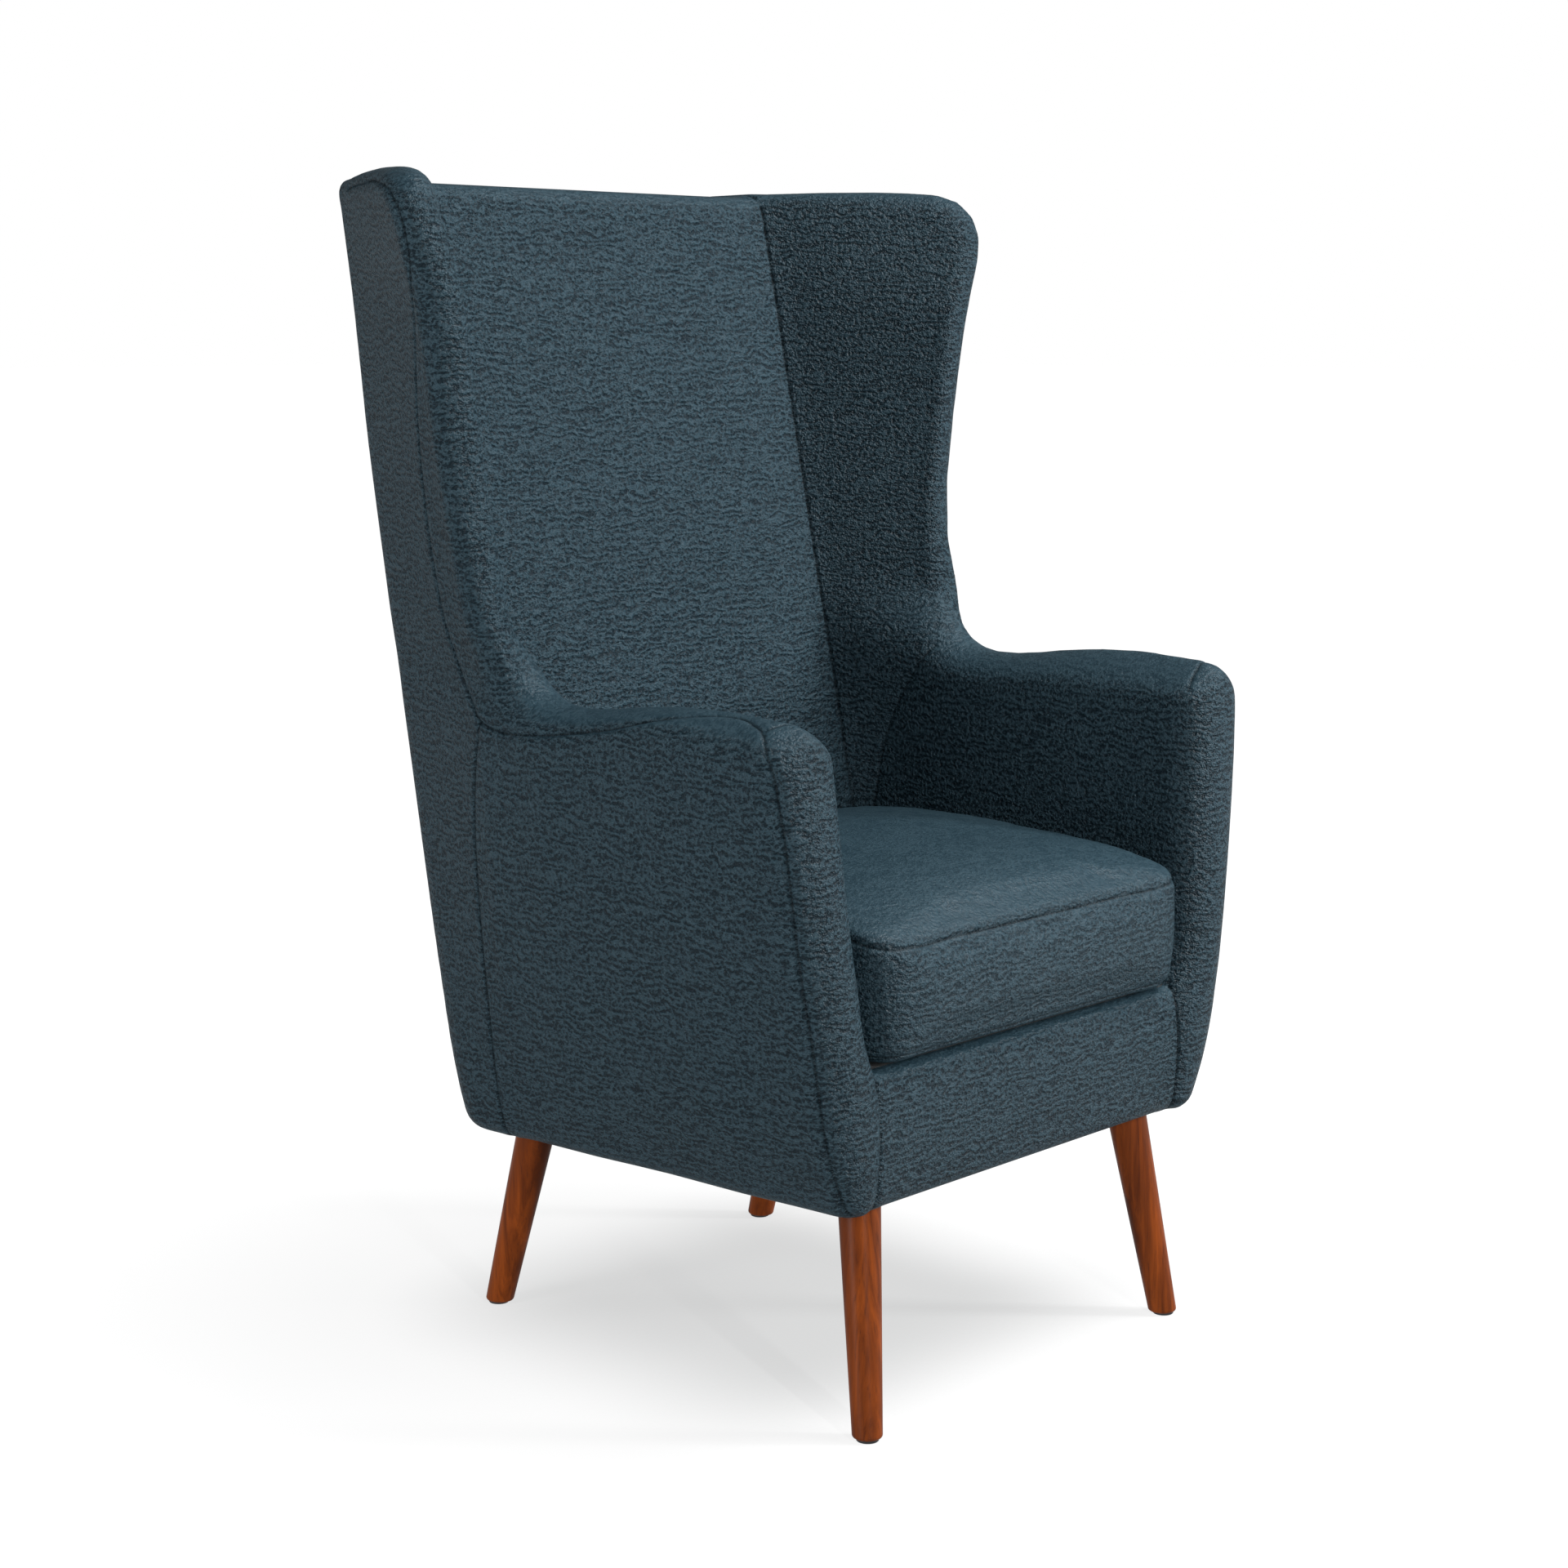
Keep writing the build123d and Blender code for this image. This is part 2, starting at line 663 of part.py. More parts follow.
with BuildPart() as wing_cover:
    add(wing_skin)
    add(outside_region.part, mode=Mode.SUBTRACT)
write_pair(wing_cover.part, "wing_cover")

with BuildPart() as arm_outside:
    with BuildSketch(Plane.YZ.offset(BACK_HALF + 34)):
        with BuildLine():
            Polyline(ARM_SEAM[-1], (ARM_REAR, BODY_BOTTOM - 5), (-286, BODY_BOTTOM - 5), ARM_SEAM[0])
            Spline(*ARM_SEAM)
        make_face()
    extrude(amount=200)
with BuildPart() as arm_panel:
    add(arm_skin)
    add(arm_outside.part, mode=Mode.INTERSECT)
write_pair(arm_panel.part, "arm_outside_cover")

with BuildPart() as arm_cover:
    add(arm_skin)
    add(arm_outside.part, mode=Mode.SUBTRACT)
    add(side_rail, mode=Mode.SUBTRACT)
write_pair(arm_cover.part, "arm_cover")

with BuildPart() as dust_cover:
    with BuildSketch(Plane.XY.offset(DUST_COVER_TOP)):
        with BuildLine():
            Polyline(*DUST_COVER, close=True)
        make_face()
        fillet(vertices(), 20)
        for _, foot, splay in FEET:
            x, y, _ = leg_point(foot, splay, DUST_COVER_TOP)
            with Locations((x, y)):
                Circle(LEG_TOP_RADIUS + 2, mode=Mode.SUBTRACT)
    extrude(amount=-DUST_COVER_THICKNESS)
write(dust_cover.part, "dust_cover")


# Seat cushion
def cushion_block(inset):
    """The loose seat cushion: boxed sides, crowned top, back face leaning with the chair's."""
    sections = []
    for z, shrink, gap in CUSHION_STATIONS:
        if z == CUSHION_STATIONS[0][0]:
            z = z + inset
        if z == CUSHION_STATIONS[-1][0]:
            z = z - inset
        low = CUSHION_FRONT + shrink + inset
        high = inside_y(z) - gap - shrink - inset
        with BuildSketch(Plane.XY.offset(z)) as section:
            with Locations((0, (low + high) / 2)):
                RectangleRounded(
                    2 * (CUSHION_HALF - shrink - inset), high - low, CUSHION_CORNER - inset
                )
        sections.append(section.sketch)
    with BuildPart() as block:
        loft(sections, ruled=True)
    return block.part


write(cushion_block(FOAM_INSET), "seat_cushion_core")
write(skin_of(cushion_block), "seat_cushion_cover")

ZIP_ORIGIN = Vector(0, inside_y(ZIP_Z) - CUSHION_GAP, ZIP_Z)
OUT = Vector(0, cos(LEAN), -sin(LEAN))  # square to the cushion's back face


def zip_plane(out):
    """A plane on the cushion's back face, x along the zip, moved out from the face."""
    return Plane(origin=ZIP_ORIGIN + OUT * out, x_dir=(1, 0, 0), z_dir=OUT)


with BuildPart() as zip_tape:
    with BuildSketch(zip_plane(0)):
        Rectangle(2 * ZIP_HALF, TAPE_HEIGHT)
    extrude(amount=TAPE_THICKNESS)
write(zip_tape.part, "zip_tape")

with BuildPart() as zip_coil:
    with BuildSketch(zip_plane(TAPE_THICKNESS)):
        Rectangle(2 * (ZIP_HALF - 2 * STOP_LENGTH), COIL_HEIGHT)
    extrude(amount=COIL_TOP - TAPE_THICKNESS)
write(zip_coil.part, "zip_coil")

with BuildPart() as zip_stops:
    with BuildSketch(zip_plane(TAPE_THICKNESS)):
        for side in (-1, 1):
            with Locations((side * (ZIP_HALF - 1.5 * STOP_LENGTH), 0)):
                RectangleRounded(STOP_LENGTH, COIL_HEIGHT + 2, 0.8)
    extrude(amount=COIL_TOP - TAPE_THICKNESS + 0.6)
write(zip_stops.part, "zip_stops")

with BuildPart() as slider:
    with BuildSketch(zip_plane(SLIDER_MID)):
        with Locations((SLIDER_X, 0)):
            RectangleRounded(SLIDER_LENGTH, SLIDER_HEIGHT, 2)
    extrude(amount=SLIDER_HIGH - SLIDER_MID)
    with BuildSketch(zip_plane(SLIDER_LOW)):
        for side in (-1, 1):
            with Locations((SLIDER_X, side * (SLIDER_HEIGHT / 2 - 0.8))):
                Rectangle(SLIDER_LENGTH - 4.2, 1.6)
    extrude(amount=SLIDER_MID - SLIDER_LOW)
    with BuildSketch(zip_plane(SLIDER_HIGH)):
        for side in (-1, 1):
            with Locations((SLIDER_X + side * (EAR_INSIDE + EAR_WIDTH / 2), 0)):
                Rectangle(EAR_WIDTH, 3)
    extrude(amount=PIN_OUT + PIN_RADIUS + 0.5 - SLIDER_HIGH)
    pin_centre = ZIP_ORIGIN + OUT * PIN_OUT
    with BuildSketch(Plane.YZ.offset(SLIDER_X - EAR_INSIDE - EAR_WIDTH)):
        with Locations((pin_centre.Y, pin_centre.Z)):
            Circle(PIN_RADIUS)
    extrude(amount=2 * (EAR_INSIDE + EAR_WIDTH))
write(slider.part, "zip_slider")

with BuildPart() as tab:
    with BuildSketch(Plane.YZ.offset(SLIDER_X - TAB_WIDTH / 2)):
        with Locations((pin_centre.Y, pin_centre.Z)):
            Circle(TAB_RING)
        with Locations((pin_centre.Y, pin_centre.Z - TAB_LENGTH / 2)):
            Rectangle(TAB_THICKNESS, TAB_LENGTH)
        with Locations((pin_centre.Y, pin_centre.Z)):
            Circle(TAB_HOLE, mode=Mode.SUBTRACT)
    extrude(amount=TAB_WIDTH)
    low_edges = tab.edges().filter_by(Axis.Y).group_by(Axis.Z)[0]
    fillet(low_edges, 1.6)
write(tab.part, "zip_tab")
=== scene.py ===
import json
import math

import bmesh
import bpy
import numpy as np
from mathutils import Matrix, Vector
from mathutils.bvhtree import BVHTree
from mathutils.kdtree import KDTree


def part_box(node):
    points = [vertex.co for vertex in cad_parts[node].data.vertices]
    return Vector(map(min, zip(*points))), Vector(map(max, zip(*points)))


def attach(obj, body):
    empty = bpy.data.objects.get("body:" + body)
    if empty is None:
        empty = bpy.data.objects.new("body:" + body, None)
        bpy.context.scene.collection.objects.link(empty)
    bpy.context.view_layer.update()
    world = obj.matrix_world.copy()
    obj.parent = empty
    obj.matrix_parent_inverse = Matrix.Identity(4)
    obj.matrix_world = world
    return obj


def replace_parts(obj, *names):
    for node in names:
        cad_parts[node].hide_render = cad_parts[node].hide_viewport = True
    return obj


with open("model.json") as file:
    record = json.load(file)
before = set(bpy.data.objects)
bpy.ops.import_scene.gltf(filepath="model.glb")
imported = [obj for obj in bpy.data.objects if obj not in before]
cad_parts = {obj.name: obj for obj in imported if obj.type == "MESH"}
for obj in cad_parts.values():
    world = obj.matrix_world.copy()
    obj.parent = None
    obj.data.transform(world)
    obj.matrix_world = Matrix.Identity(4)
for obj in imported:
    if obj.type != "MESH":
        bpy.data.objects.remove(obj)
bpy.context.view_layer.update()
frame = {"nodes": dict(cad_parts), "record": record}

# Camera, in front of the chair and at the sitter's right
camera = bpy.data.objects.new("camera", bpy.data.cameras.new("camera"))
bpy.context.scene.collection.objects.link(camera)
camera.location = (-2.0587, -1.8679, 0.9573)
camera.rotation_euler = (math.radians(90 - 8.923), 0, math.radians(-47.867))
camera.data.sensor_width = 36
camera.data.lens = 66.54
bpy.context.scene.camera = camera
bpy.context.scene.view_settings.view_transform = "Standard"

# Sizes in metres, in the row frame. Tracks are (height, value) keys, joined by a smooth curve.
BACK_LEAN, REAR_LEAN = 0.2097, 0.1815
BACK_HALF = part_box("inside_back_cover")[1].x - 0.003
BOTTOM, BACK_TOP = 0.2045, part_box("inside_back_cover")[1].z + 0.001
SEAT_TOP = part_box("seat_deck_cover")[1].z
CORNER_R, TIP_R = 0.042, 0.022  # rear corner of a side, and the wing's rim in plan
WING_START, WING_BLEND = 0.60, 0.10  # the arm's section turns into the wing's over this height
ARM_REAR = 0.066  # y where an arm's outer face meets the side of the back
JUNCTION_Z = 0.609  # where the wing, panel and rear seams meet
TOP_SEAM_Z = 1.086  # seam along the back's top edge
BACK_FOOT_Z = 0.34  # lower end of the inside back and its seams
BOTTOM_ROUND, BACK_ROLL, SEAT_ROUND = 0.015, 0.019, 0.011  # rounded edges of the body
LEAN_IN_SHARE, LEAN_OUT_SHARE = 0.979, 0.984  # cosines of the two faces' leans
SEAM_GAP = 0.002  # distance between the points along a seam
TIP_X = ((0.45, 0.287), (0.58, 0.297), (0.63, 0.304), (0.68, 0.313), (0.74, 0.317), (0.80, 0.324),
         (0.87, 0.335), (0.93, 0.344), (0.98, 0.354), (1.03, 0.370), (1.06, 0.377), (1.10, 0.381))
TIP_Y = ((0.60, 0.030), (0.64, 0.045), (0.68, 0.067), (0.74, 0.080), (0.80, 0.086), (0.87, 0.087),
         (0.93, 0.085), (0.98, 0.083), (1.03, 0.083), (1.10, 0.089))
CORNER_X = ((0.20, 0.283), (0.23, 0.285), (0.27, 0.286), (0.35, 0.284), (0.56, 0.280), (0.70, 0.279),
            (0.84, 0.2755), (1.02, 0.266), (1.10, 0.264))
ARM_IN = ((0.20, 0.213), (0.30, 0.213), (0.33, 0.220), (0.36, 0.230), (0.40, 0.236), (0.45, 0.243),
          (0.52, 0.250), (0.60, 0.257), (0.66, 0.262))
SEAM_IN = ((0.20, 0.05), (0.40, 0.085), (0.47, 0.086), (0.52, 0.080), (0.563, 0.067), (0.602, 0.046),
           (0.65, 0.020))
OUT_FRONT = ((0.20, 0.260), (0.22, 0.267), (0.24, 0.275), (0.268, 0.285), (0.323, 0.298), (0.403, 0.314),
             (0.45, 0.322), (0.524, 0.3325), (0.60, 0.341), (0.68, 0.343))
OUT_MID = ((0.20, 0.264), (0.22, 0.271), (0.24, 0.279), (0.268, 0.289), (0.323, 0.302), (0.403, 0.3165),
           (0.45, 0.325), (0.524, 0.334), (0.60, 0.341), (0.68, 0.342))
OUT_REAR = ((0.20, 0.271), (0.22, 0.278), (0.24, 0.285), (0.268, 0.291), (0.323, 0.300), (0.403, 0.311),
            (0.45, 0.316), (0.524, 0.323), (0.60, 0.329), (0.68, 0.333))
RIM_R = ((0.20, 0.028), (0.30, 0.035), (0.40, 0.0395), (0.52, 0.0385), (0.60, 0.0355), (0.66, 0.030),
         (0.72, 0.0225), (1.10, 0.0225))
SEAT_FRONT = ((0.20, -0.312), (0.235, -0.3165), (0.27, -0.318), (0.31, -0.3155), (0.33, -0.3125))
# The side's outline seen from the side: arm front, arm top, wing front, wing top
PROFILE = (
    (-0.317, 0.10), (-0.3185, 0.209), (-0.3235, 0.25), (-0.3265, 0.30), (-0.3272, 0.35), (-0.3260, 0.40),
    (-0.3235, 0.45), (-0.3205, 0.50), (-0.3170, 0.55), (-0.3145, 0.58), (-0.3115, 0.61), (-0.3065, 0.634),
    (-0.2970, 0.6545), (-0.2815, 0.6660), (-0.2620, 0.6695), (-0.2400, 0.6685), (-0.2100, 0.6635),
    (-0.1700, 0.6540), (-0.1250, 0.6420), (-0.0850, 0.6325), (-0.0550, 0.6285), (-0.0220, 0.6280),
    (-0.0020, 0.6320), (0.0135, 0.6400), (0.0255, 0.6525), (0.0335, 0.6680), (0.0400, 0.6870),
    (0.0468, 0.7080), (0.0560, 0.74), (0.0636, 0.80), (0.0646, 0.87), (0.0626, 0.93), (0.0606, 0.98),
    (0.0610, 1.03), (0.0640, 1.053), (0.0735, 1.074), (0.0900, 1.0895), (0.1130, 1.0972),
    (0.1450, 1.0992), (0.1800, 1.1000), (0.2400, 1.0995), (0.3000, 1.0980), (0.45, 1.096), (0.45, 0.10),
)
# Seams on the outside of a side, as (y, z)
WING_SEAM = ((0.064, 0.609), (0.095, 0.642), (0.115, 0.689), (0.130, 0.75), (0.132, 0.813), (0.115, 0.921),
             (0.093, 0.984), (0.080, 1.028), (0.082, 1.051), (0.098, 1.074), (0.139, 1.085), (0.217, 1.087),
             (0.268, 1.086))
PANEL_SEAM = ((0.064, 0.609), (0.041, 0.603), (-0.009, 0.604), (-0.049, 0.609), (-0.109, 0.619),
              (-0.16, 0.631), (-0.20, 0.637), (-0.228, 0.638), (-0.257, 0.635), (-0.281, 0.627),
              (-0.293, 0.609), (-0.300, 0.568), (-0.304, 0.502), (-0.306, 0.436), (-0.309, 0.368),
              (-0.309, 0.286), (-0.309, 0.234), (-0.309, 0.206))
REAR_SEAM = ((0.064, 0.609), (0.077, 0.574), (0.090, 0.509), (0.094, 0.435), (0.095, 0.344), (0.096, 0.206))
INNER_SEAM = ((0.026, 0.632), (0.038, 0.616), (0.046, 0.602), (0.067, 0.563), (0.080, 0.52), (0.086, 0.469),
              (0.086, 0.34))
BORDER_X = 0.2225


def inside_y(z):
    """Inside face of the back at a height."""
    return 0.1086 + BACK_LEAN * (z - 0.470)


def rear_y(z):
    """Outside face of the back at a height."""
    return 0.1806 + REAR_LEAN * (z - 0.264)


def track(at, keys):
    """Smooth curve through (position, value) keys."""
    place, value = np.array(keys, float).T
    slope = np.gradient(value, place)
    at = np.clip(np.asarray(at, float), place[0], place[-1])
    i = np.clip(np.searchsorted(place, at, side="right") - 1, 0, len(place) - 2)
    span = place[i + 1] - place[i]
    t = (at - place[i]) / span
    return (
        (2 * t**3 - 3 * t**2 + 1) * value[i] + (t**3 - 2 * t**2 + t) * span * slope[i]
        + (3 * t**2 - 2 * t**3) * value[i + 1] + (t**3 - t**2) * span * slope[i + 1]
    )


def polygon_distance(px, py, points):
    """Distance to a closed outline, negative inside."""
    best = np.full(np.shape(px), 1e9)
    inside = np.zeros(np.shape(px), bool)
    points = np.array(points, float)
    for (ax, ay), (bx, by) in zip(points, np.roll(points, -1, axis=0)):
        ex, ey, wx, wy = bx - ax, by - ay, px - ax, py - ay
        t = np.clip((wx * ex + wy * ey) / (ex * ex + ey * ey + 1e-12), 0, 1)
        best = np.minimum(best, (wx - ex * t) ** 2 + (wy - ey * t) ** 2)
        if ay != by:
            inside ^= ((ay > py) != (by > py)) & (px < ex * (py - ay) / (by - ay) + ax)
    return np.where(inside, -1, 1) * np.sqrt(best)


def round_join(a, b, r):
    """What two solids share, with the edge between them rounded."""
    return np.minimum(np.maximum(a, b), -r) + np.hypot(np.maximum(a + r, 0), np.maximum(b + r, 0))


def soft_union(a, b, k):
    """Two solids together, with a fillet of about k between them."""
    h = np.maximum(k - np.abs(a - b), 0)
    return np.minimum(a, b) - h * h / (4 * np.maximum(k, 1e-9))


def turned(v, angle):
    """A plan direction turned by an angle."""
    c, s = math.cos(angle), math.sin(angle)
    return np.array([v[0] * c - v[1] * s, v[0] * s + v[1] * c]) / np.hypot(*v)


def rear_corner(corner, out):
    """The rounded corner between an outer face with normal out and the rear face."""
    cx = corner[0] + CORNER_R * (out[1] - 1) / out[0]
    cy = corner[1] - CORNER_R
    angles = np.linspace(math.atan2(out[1], out[0]), math.pi / 2, 6)
    return [(cx + CORNER_R * math.cos(a), cy + CORNER_R * math.sin(a)) for a in angles]


def wing_frame(z):
    """Tip centre, rear corner, direction of the wing, its normal and the outer face's normal."""
    tip = np.array([float(track(z, TIP_X)), float(track(z, TIP_Y))])
    corner = np.array([float(track(z, CORNER_X)), rear_y(z)])
    outer, inner = tip - corner, tip - np.array([BACK_HALF, inside_y(z)])
    outer_dir = turned(outer, math.asin(TIP_R / np.hypot(*outer)))
    inner_dir = turned(inner, -math.asin(TIP_R / np.hypot(*inner)))
    flare = (math.atan2(outer_dir[0], -outer_dir[1]) + math.atan2(inner_dir[0], -inner_dir[1])) / 2
    along = np.array([math.sin(flare), -math.cos(flare)])
    normal = np.array([math.cos(flare), math.sin(flare)])
    return tip, corner, along, normal, np.array([-outer_dir[1], outer_dir[0]])


def wall(z, x, y):
    """Plan distance to one side's wall at a height, and the coordinate across its rim."""
    tip, corner, along, normal, outer_normal = wing_frame(z)
    share = min(max((z - WING_START) / WING_BLEND, 0), 1)
    share = share * share * (3 - 2 * share)
    back = [
        (BACK_HALF - 0.013, rear_y(z)), (BACK_HALF - 0.013, inside_y(z) + 0.012), (BACK_HALF, inside_y(z)),
    ]
    front, middle, rear = (float(track(z, keys)) for keys in (OUT_FRONT, OUT_MID, OUT_REAR))
    inner = float(track(z, ARM_IN))
    side = corner - (rear, ARM_REAR)
    side_normal = np.array([side[1], -side[0]]) / np.hypot(*side)
    arm_outline = [
        (inner, -0.6), (front - 0.004, -0.6), (front, -0.28), ((front + middle) / 2 + 0.002, -0.19),
        (middle, -0.10), ((middle + rear) / 2 + 0.002, -0.01), (rear, ARM_REAR),
        *rear_corner(corner, side_normal), *back, (inner, float(track(z, SEAM_IN))),
    ]
    wing_outline = [
        tuple(tip - normal * TIP_R), tuple(tip - normal * TIP_R + along / 2),
        tuple(tip + normal * TIP_R + along / 2), tuple(tip + normal * TIP_R),
        *rear_corner(corner, outer_normal), *back,
    ]
    across = tip[1] - (y - tip[1]) * along[1] - (x - tip[0]) * along[0]
    arm = polygon_distance(x, y, arm_outline) if share < 1 else 0
    wing = polygon_distance(x, y, wing_outline) if share > 0 else 0
    return arm * (1 - share) + wing * share, y * (1 - share) + across * share


def body_slice(z, x, y):
    """Distance to the upholstered body at a height, for the +X half."""
    plan, across = wall(z, x, y)
    line = np.arange(-0.45, 0.46, 0.002)
    rim = np.interp(across, line, polygon_distance(line, np.full_like(line, z), PROFILE))
    solid = round_join(plan, rim, float(track(z, RIM_R)) - 0.008 * np.clip((across - 0.14) / 0.1, 0, 1))
    slab = np.maximum((inside_y(z) - y) * LEAN_IN_SHARE, (y - rear_y(z)) * LEAN_OUT_SHARE)
    slab = round_join(np.maximum(slab, x - BACK_HALF - 0.008), np.full_like(x, z - BACK_TOP), BACK_ROLL)
    solid = soft_union(solid, slab, 0.008 * np.clip((inside_y(z) + 0.02 - y) / 0.02, 0, 1))
    seat = round_join(float(track(z, SEAT_FRONT)) - y, np.full_like(x, z - SEAT_TOP), SEAT_ROUND)
    seat = np.maximum(np.maximum(seat, y - rear_y(z) + 0.03), x - 0.236)
    return round_join(np.minimum(solid, seat), np.full_like(x, BOTTOM - z), BOTTOM_ROUND)


def sampled(slices, low, high, step):
    """A distance field on a grid that is symmetric about x = 0."""
    xs = np.arange(0, high[0], step)
    ys, zs = np.arange(low[1], high[1], step), np.arange(low[2], high[2], step)
    x, y = np.meshgrid(xs, ys, indexing="ij")
    half = np.stack([slices(z, x, y) for z in zs], axis=2)
    return np.concatenate([half[:0:-1], half]), np.array([-xs[-1], ys[0], zs[0]])


def surface(field, origin, step):
    """Quads around the field's zero level (surface nets)."""
    inside = field < 0
    n = np.array(field.shape) - 1
    corners = [(i, j, k) for i in (0, 1) for j in (0, 1) for k in (0, 1)]
    count = sum(inside[i:n[0] + i, j:n[1] + j, k:n[2] + k].astype(np.int8) for i, j, k in corners)
    cells = np.argwhere((count > 0) & (count < 8))
    index = -np.ones(count.shape, np.int64)
    index[tuple(cells.T)] = np.arange(len(cells))
    total, hits = np.zeros((len(cells), 3)), np.zeros(len(cells))
    for a in corners:
        for axis in range(3):
            if a[axis]:
                continue
            b = tuple(c + (i == axis) for i, c in enumerate(a))
            da, db = field[tuple((cells + a).T)], field[tuple((cells + b).T)]
            cross = (da < 0) != (db < 0)
            t = np.where(cross, da / np.where(cross, da - db, 1), 0)
            total += np.where(cross[:, None], np.array(a) + t[:, None] * np.eye(3)[axis], 0)
            hits += cross
    points = (cells + total / hits[:, None]) * step + origin
    quads = []
    for axis in range(3):
        first = [slice(1, -1)] * 3
        second = [slice(1, -1)] * 3
        first[axis], second[axis] = slice(0, -1), slice(1, None)
        change = inside[tuple(first)] != inside[tuple(second)]
        base = np.argwhere(change) + [int(i != axis) for i in range(3)]
        o1, o2 = (i for i in range(3) if i != axis)
        ring = []
        for s, t in ((0, 0), (1, 0), (1, 1), (0, 1)):
            at = base.copy()
            at[:, o1] -= s
            at[:, o2] -= t
            ring.append(index[tuple(at.T)])
        ring = np.stack(ring, axis=1)
        keep = inside[tuple(first)][change] ^ (axis == 1)
        ring[~keep] = ring[~keep][:, ::-1]
        quads.append(ring)
    return points, np.concatenate(quads)


class Field:
    """A sampled field that can be asked for where a straight line enters the solid."""

    def __init__(self, field, origin, step):
        self.field, self.origin, self.step = field, origin, step

    def at(self, points):
        place = (np.asarray(points) - self.origin) / self.step
        place = np.clip(place, 0, np.array(self.field.shape) - 1.001)
        low = place.astype(int)
        part = place - low
        value = 0
        for i in (0, 1):
            for j in (0, 1):
                for k in (0, 1):
                    weight = np.prod(np.where((i, j, k), part, 1 - part), axis=1)
                    value = value + weight * self.field[tuple((low + (i, j, k)).T)]
        return value

    def pierce(self, start, direction, reach=0.9):
        """First point of the solid's surface from start along direction."""
        t = np.arange(0, reach, 0.001)
        line = np.asarray(start, float) + t[:, None] * np.asarray(direction, float)
        value = self.at(line)
        hit = int(np.argmax(value < 0))
        if hit == 0 or value[hit] >= 0:
            return None
        share = value[hit - 1] / (value[hit - 1] - value[hit])
        return line[hit - 1] + (line[hit] - line[hit - 1]) * share


def dense(keys, gap=SEAM_GAP):
    """Points close together on a smooth line through keys."""
    keys = np.array(keys, float)
    run = np.concatenate([[0], np.cumsum(np.hypot(*np.diff(keys, axis=0).T))])
    at = np.arange(0, run[-1] + gap, gap)
    return np.stack([track(at, np.stack([run, keys[:, i]], axis=1)) for i in range(2)], axis=1)


def both_sides(points):
    """Points on the +X side with their mirror images."""
    points = np.array([p for p in points if p is not None])
    return np.concatenate([points, points * (-1, 1, 1)])


def new_mesh(name, points, faces):
    """An object with a mesh, smooth shaded."""
    mesh = bpy.data.meshes.new(name)
    mesh.from_pydata([tuple(p) for p in points], [], [tuple(int(i) for i in f) for f in faces])
    mesh.polygons.foreach_set("use_smooth", [True] * len(mesh.polygons))
    piece = bpy.data.objects.new(name, mesh)
    bpy.context.scene.collection.objects.link(piece)
    return piece


def coordinates(mesh):
    """Every point of a mesh."""
    co = np.zeros(len(mesh.vertices) * 3)
    mesh.vertices.foreach_get("co", co)
    return co.reshape(-1, 3)


def normals(mesh):
    """The smooth normal at every point of a mesh."""
    out = np.zeros(len(mesh.vertices) * 3)
    mesh.vertices.foreach_get("normal", out)
    return out.reshape(-1, 3)


def seam_distance(points, seam, far):
    """Distance of each point to the nearest seam point, up to far."""
    tree = KDTree(len(seam))
    for i, p in enumerate(seam):
        tree.insert(p, i)
    tree.balance()
    low, high = seam.min(0) - far, seam.max(0) + far
    near = np.nonzero(((points > low) & (points < high)).all(axis=1))[0]
    out = np.full(len(points), far)
    for i in near:
        out[i] = min(tree.find(points[i])[2], far)
    return out


def refine(mesh, seam, passes):
    """Divides the edges near a seam, once for each width in passes."""
    for width in passes:
        close = seam_distance(coordinates(mesh), seam, width * 1.5) < width
        shape = bmesh.new()
        shape.from_mesh(mesh)
        shape.verts.ensure_lookup_table()
        edges = [e for e in shape.edges if close[e.verts[0].index] and close[e.verts[1].index]]
        bmesh.ops.subdivide_edges(shape, edges=edges, cuts=1, use_grid_fill=True)
        shape.to_mesh(mesh)
        shape.free()
    mesh.polygons.foreach_set("use_smooth", [True] * len(mesh.polygons))


def smooth(mesh, rounds, share=0.5):
    """Moves every point towards the middle of its neighbours."""
    co = coordinates(mesh)
    edges = np.zeros(len(mesh.edges) * 2, np.int64)
    mesh.edges.foreach_get("vertices", edges)
    a, b = edges.reshape(-1, 2).T
    count = np.bincount(np.concatenate([a, b]), minlength=len(co))[:, None]
    for _ in range(rounds):
        total = np.zeros_like(co)
        np.add.at(total, a, co[b])
        np.add.at(total, b, co[a])
        co += (total / count - co) * share
    mesh.vertices.foreach_set("co", co.ravel())
    mesh.update()


PUFF_PLACE, PUFF_WIDTH, PUFF_REACH = 0.008, 0.006, 0.03  # the cloth's swelling beside a seam
GROOVE_WIDTH = 0.0018
GROOVE_SHADE_WIDTH, GROOVE_SHADE_DEPTH = 0.0012, 0.0014  # width of the painted shade along a seam's groove, and the groove depth where it is full


def sew(mesh, seams):
    """Presses each seam in, lets the cloth puff beside it and stores painted shade along the groove, darker
    for deeper seams.
    """
    co, out = coordinates(mesh), normals(mesh)
    shade = np.zeros(len(co))
    lift = np.zeros(len(co))
    for seam, depth, puff in seams:
        d = seam_distance(co, seam, PUFF_REACH)
        swelling = puff * np.exp(-(((d - PUFF_PLACE) / PUFF_WIDTH) ** 2)) * (d < PUFF_REACH)
        lift += swelling - depth * np.exp(-((d / GROOVE_WIDTH) ** 2))
        # Painted shade in the groove, stronger for deeper seams.
        shade = np.maximum(shade, min(depth / GROOVE_SHADE_DEPTH, 1) * np.exp(-((d / GROOVE_SHADE_WIDTH) ** 2)))
    mesh.vertices.foreach_set("co", (co + out * lift[:, None]).ravel())
    mesh.attributes.new("seam", "FLOAT", "POINT").data.foreach_set("value", shade.astype(np.float32))
    mesh.update()


